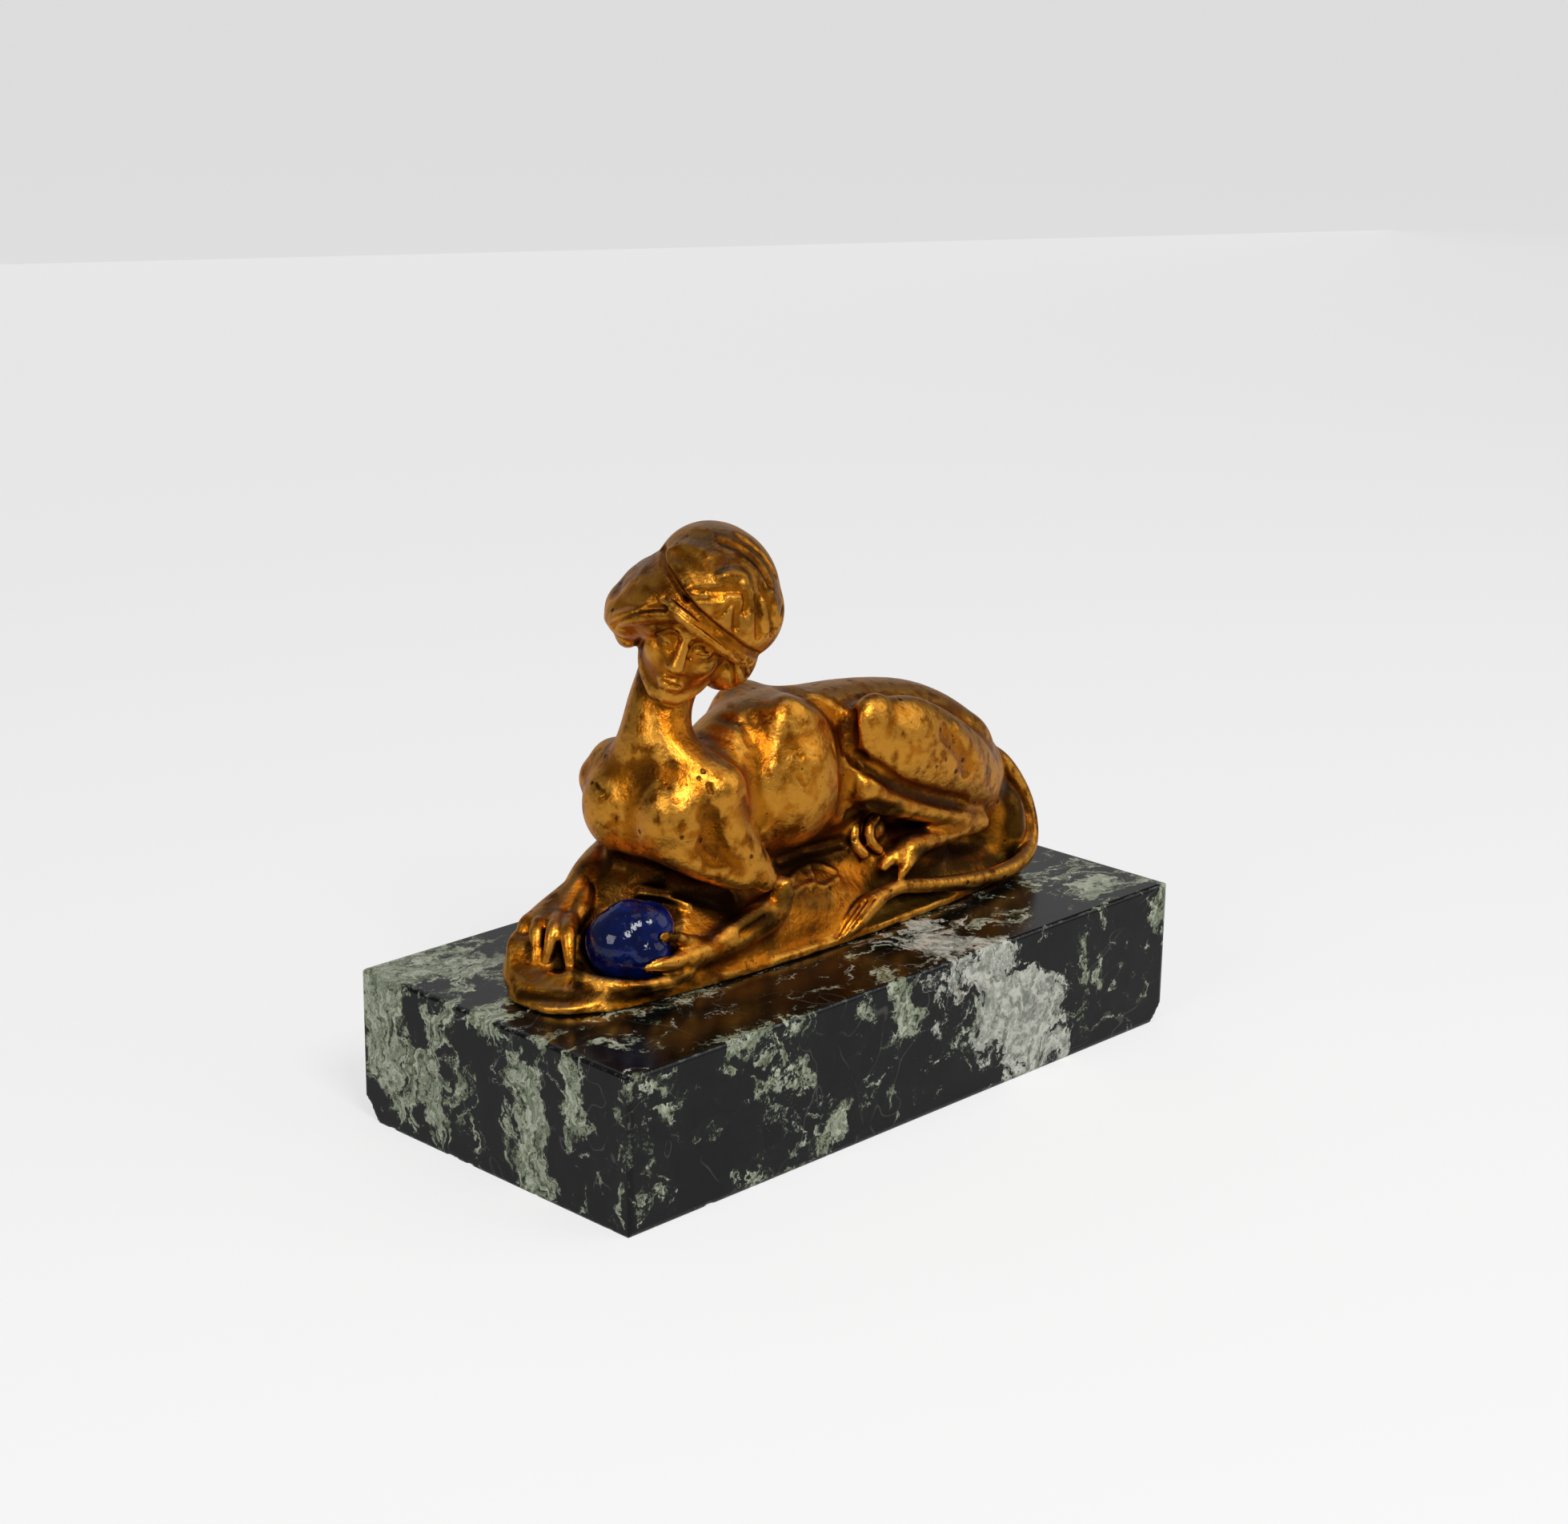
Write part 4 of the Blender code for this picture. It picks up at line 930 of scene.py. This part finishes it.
# Marble: where the paler patches lie, in mm, with reach along x, y, z and strength
patches = {
    "frontLeft": ((-25.5, -60, 17), (8, 16, 13), 1.0), "frontLow": ((-15, -60, 10), (9, 14, 11), 0.6),
    "frontStripe": ((9.5, -60, 11), (4.0, 18, 15), 0.8), "frontRib": ((18.5, -60, 18), (2.0, 12, 9), 0.8),
    "frontEdge": ((-1, -60, 23.5), (5, 6, 4), 1.0), "longNotch": ((29.5, -4, 22), (9, 4.0, 6.5), 0.95),
    "longGreen": ((29.5, -33, 19), (7, 4, 5), 0.4), "longSpot": ((29.5, -12.8, 21), (8, 4, 4), 0.7),
    "longLow": ((29.5, -25, 7), (6, 4, 4), 0.4), "longFoot": ((29.5, -18, 3), (8, 4, 3.5), 0.9),
    "rearCorner": ((29.5, 58, 22), (7, 5, 5), 1.0), "topLeft": ((-20, -44, 24), (12, 22, 3), 0.5),
    "topRear": ((18, 50, 24), (10, 12, 3), 0.4), "backWhite": ((-29.5, 22, 14), (9, 12, 14), 0.9),
    "backGreen": ((-29.5, -24, 10), (9, 9, 10), 0.7), "endWhite": ((-4, 60, 14), (6, 12, 14), 0.9)}
band = {"at": (29.5, 21.0, 12.0), "reach": (22, 12.0, 26), "lean": 0.66}


def patch(tree, spot, centre, reach):
    feeds = {"Vector": spot, "Location": [-c / r for c, r in zip(centre, reach)],
             "Scale": [1 / r for r in reach]}
    shifted = addNode(tree, "Mapping", feeds).outputs[0]
    far = addNode(tree, "VectorMath", {0: shifted}, operation="LENGTH").outputs["Value"]
    return fade(tree, far, 1.5, 0.2)


def makeMarble(speckle):
    made, tree, shader = newMaterial("veinedMarble")
    plain = millimetres(tree)
    feeds = {"Vector": plain, "Scale": 0.10, "Detail": 5.0, "Roughness": 0.6}
    drift = addNode(tree, "TexNoise", feeds).outputs["Color"]
    feeds = {0: drift, 1: (0.5, 0.5, 0.5)}
    centred = addNode(tree, "VectorMath", feeds, operation="SUBTRACT").outputs[0]
    feeds = {0: centred, 1: (16.0, 16.0, 16.0), 2: plain}
    loose = addNode(tree, "VectorMath", feeds, operation="MULTIPLY_ADD").outputs[0]
    cover = None
    for centre, reach, strength in patches.values():
        part = times(tree, patch(tree, loose, centre, reach), strength)
        cover = part if cover is None else reckon(tree, "MAXIMUM", cover, part)
    x, y, z = addNode(tree, "SeparateXYZ", {0: loose}).outputs
    leant = reckon(tree, "ADD", y, times(tree, z, band["lean"]))
    leantSpot = addNode(tree, "CombineXYZ", {0: x, 1: leant, 2: z}).outputs[0]
    middle = (band["at"][0], band["at"][1] + band["lean"] * band["at"][2], band["at"][2])
    white = patch(tree, leantSpot, middle, band["reach"])
    layered = addNode(tree, "Mapping", {"Vector": loose, "Scale": (1.0, 0.34, 0.42)}).outputs[0]
    streaks = cloud(tree, layered, 0.26, 6.0, 0.68, 0.5)
    shreds = cloud(tree, layered, 0.95, 5.0, 0.66, 0.8)
    pale = fade(tree, reckon(tree, "ADD", streaks, times(tree, cover, 0.23)), 0.575, 0.625)
    pale = times(tree, pale, fade(tree, shreds, 0.34, 0.46))
    green = tint(tree, fade(tree, shreds, 0.42, 0.66), (0.20, 0.24, 0.14), (0.68, 0.72, 0.56))
    colour = tint(tree, fade(tree, streaks, 0.40, 0.62), (0.0016, 0.0020, 0.0020), (0.0065, 0.0082, 0.0066))
    colour = tint(tree, pale, colour, green)
    cloudy = cloud(tree, loose, 0.16, 7.0, 0.72, 0.6)
    snow = fade(tree, reckon(tree, "ADD", cloudy, times(tree, white, 0.27)), 0.620, 0.680)
    mix = fade(tree, cloud(tree, loose, 0.5, 5.0, 0.7), 0.35, 0.62)
    flesh = tint(tree, mix, (0.26, 0.28, 0.23), (0.80, 0.80, 0.70))
    colour = tint(tree, snow, colour, flesh)
    rust = times(tree, snow, fade(tree, cloud(tree, plain, 0.40, 5.0, 0.7), 0.58, 0.66))
    colour = tint(tree, times(tree, rust, 0.75), colour, (0.12, 0.055, 0.020))
    lines = None
    for scale, width, shift in ((0.022, 0.0022, (3, 7, 2)), (0.034, 0.0030, (31, 5, 17))):
        away = addNode(tree, "Mapping", {"Vector": plain, "Location": shift}).outputs[0]
        ripple = cloud(tree, away, scale, 3.0, 0.5, 0.6)
        gap = reckon(tree, "ABSOLUTE", reckon(tree, "SUBTRACT", ripple, 0.5))
        line = fade(tree, gap, width, width * 0.2)
        lines = line if lines is None else reckon(tree, "MAXIMUM", lines, line)
    lines = times(tree, lines, fade(tree, cloud(tree, plain, 0.16, 4.0), 0.40, 0.56))
    colour = tint(tree, times(tree, lines, 0.28), colour, (0.21, 0.22, 0.18))
    edge = reckon(tree, "ADD", painted(tree, "edge"), times(tree, cloud(tree, plain, 0.8, 4.0), 0.7))
    edge = fade(tree, edge, 1.16, 1.34)
    chalk = specks(tree, speckle, plain, 0.42, 0.14, 0.09)
    worn = reckon(tree, "MAXIMUM", times(tree, edge, 0.5), times(tree, chalk, 0.5))
    colour = tint(tree, worn, colour, (0.30, 0.31, 0.27))
    rough = reckon(tree, "MULTIPLY_ADD", cloud(tree, plain, 0.25, 4.0), 0.16, 0.10)
    rough = reckon(tree, "ADD", rough, times(tree, worn, 0.4))
    height = reckon(tree, "SUBTRACT", times(tree, shreds, 0.012), times(tree, chalk, 0.05))
    dress(tree, shader, colour, rough, height)
    shader.inputs["Specular IOR Level"].default_value = 0.35
    return made


# Plinth: a worn polished block, its chips scooped by balls that lie outside it

plinth = {"voxel": 0.55, "nicks": 90, "seed": 11, "ripple": 0.16, "cornerBall": 9.0, "edgeReach": 1.6,
          "kept": 0.35, "corners": ((-1, -1, 4.6, 2.9, 3.6), (1, 1, 3.9, 2.9, 2.4)),
          "scoops": (((31.0, -44.3, -1.5), 2.6), ((30.6, -19.6, -1.0), 1.8), ((-30.8, -60.9, 24.6), 1.7),
                     ((29.9, -60.4, 25.3), 1.9))}


def scoop(places, centre, radius):
    away = places - np.array(centre)
    gap = np.linalg.norm(away, axis=1)
    inside = gap < radius
    ripple = np.array([noise.noise(Vector(spot) * 0.9) for spot in places[inside]])
    reach = radius + plinth["ripple"] * ripple[:, None]
    places[inside] = np.array(centre) + away[inside] / gap[inside, None] * reach


def buildPlinth(look):
    low, high = np.array(plinthLow), np.array(plinthHigh)
    size = (*(plinthHigh - plinthLow), 1.0)
    shape = Matrix.Translation((plinthLow + plinthHigh) / 2) @ Matrix.Diagonal(size)
    made = clay("marble_block", [lambda bm: bmesh.ops.create_cube(bm, size=1.0, matrix=shape)])
    melt(made, plinth["voxel"])
    places = readPlaces(made.data)
    chance = np.random.default_rng(plinth["seed"])
    for right, rear, tall, wide, long in plinth["corners"]:
        corner = np.array([high[0] if right > 0 else low[0], high[1] if rear > 0 else low[1], low[2]])
        slope = np.array([right / wide, rear / long, -1.0 / tall])
        depth = 1.12 / np.linalg.norm(slope)
        away = slope / np.linalg.norm(slope) * (plinth["cornerBall"] - depth)
        scoop(places, corner + away, plinth["cornerBall"])
    for centre, radius in plinth["scoops"]:
        scoop(places, centre, radius)
    for _ in range(plinth["nicks"]):
        spot = low + (high - low) * chance.random(3)
        fixed = chance.permutation(3)[:2]
        radius = chance.uniform(0.5, 1.3)
        for axis in fixed:
            side = chance.integers(2)
            spot[axis] = (low, high)[side][axis] + (2 * side - 1) * radius * 0.55
        scoop(places, spot, radius)
    places = np.clip(places, low, high)
    writePlaces(made.data, places)
    step = made.modifiers.new("thin", "DECIMATE")
    step.ratio = plinth["kept"]
    bake(made)
    places = np.clip(readPlaces(made.data), low, high)
    writePlaces(made.data, places)
    inward = np.sort(np.minimum(places - low, high - places), axis=1)
    paint(made, "edge", np.clip(1.0 - inward[:, 1] / plinth["edgeReach"], 0.0, 1.0))
    made.data.transform(Matrix.Scale(mm, 4))
    finish(made, look, "marble_plinth")
    for polygon in made.data.polygons:
        polygon.use_smooth = max(abs(a) for a in polygon.normal) < 0.9995
    print("plinth ready", len(made.data.polygons))


# Room: a pale floor and soft light. A lamp's way is to the camera's right, up, and towards the camera

lamps = {"key": {"way": (0.32, 0.62, 0.95), "far": 0.7, "size": 0.22, "bright": 11.5},
         "side": {"way": (1.0, 0.55, 0.05), "far": 0.7, "size": 0.50, "bright": 0.9},
         "top": {"way": (0.30, 1.0, 0.05), "far": 0.7, "size": 0.45, "bright": 0.6},
         "left": {"way": (-0.7, 0.32, 0.9), "far": 0.8, "size": 0.28, "bright": 3.6},
         "rear": {"way": (-0.3, 0.42, -1.0), "far": 1.0, "size": 1.3, "bright": 0.26}}
room = {"backdrop": 0.95, "round": 0.13, "floorSeen": 0.66, "floorUnseen": 0.24,
        "floorColour": (0.40, 0.40, 0.40), "floorSize": 12.0}


def twoStrengths(tree, socket, other, camera):
    # one strength for the camera's own rays, another for all others
    seen = addNode(tree, "LightPath", {}).outputs["Is Camera Ray"]
    feeds = {"Value": seen, "To Min": other, "To Max": camera}
    tree.links.new(addNode(tree, "MapRange", feeds).outputs["Result"], socket)


def makeRoom():
    bm = bmesh.new()
    bmesh.ops.create_grid(bm, x_segments=1, y_segments=1, size=room["floorSize"])
    floor = newThing("floor", bpy.data.meshes.new("floor"))
    bm.to_mesh(floor.data)
    bm.free()
    pale, tree, shader = newMaterial("paleFloor")
    shader.inputs["Base Color"].default_value = (*room["floorColour"], 1.0)
    shader.inputs["Roughness"].default_value = 0.9
    shader.inputs["Emission Color"].default_value = (1, 1, 1, 1)
    twoStrengths(tree, shader.inputs["Emission Strength"], room["floorUnseen"], room["floorSeen"])
    floor.data.materials.append(pale)
    world = bpy.data.worlds.new("studio")
    bpy.context.scene.world = world
    world.use_nodes = True
    sky = world.node_tree.nodes["Background"].inputs
    sky["Color"].default_value = (1, 1, 1, 1)
    twoStrengths(world.node_tree, sky["Strength"], room["round"], room["backdrop"])
    eye, right, up, back = cameraAxes()
    aim = Vector((0, 0, 0.045))
    for name, lamp in lamps.items():
        data = bpy.data.lights.new(name, "AREA")
        data.size = lamp["size"]
        data.energy = lamp["bright"] * math.pi * lamp["size"] ** 2
        thing = newThing(name, data)
        across, rise, near = lamp["way"]
        way = (right * across + Vector((0, 0, 1)) * rise + back * near).normalized()
        turn = way.to_track_quat("Z", "Y").to_matrix().to_4x4()
        thing.matrix_world = Matrix.Translation(aim + way * lamp["far"]) @ turn
    bpy.context.scene.view_settings.view_transform = "Standard"
    print("room ready")


makeCamera()
makeRoom()
speckle = makeSpeckle()
buildPlinth(makeMarble(speckle))
buildCasting(makeBronze(speckle))
buildStone(makeBlue(speckle))
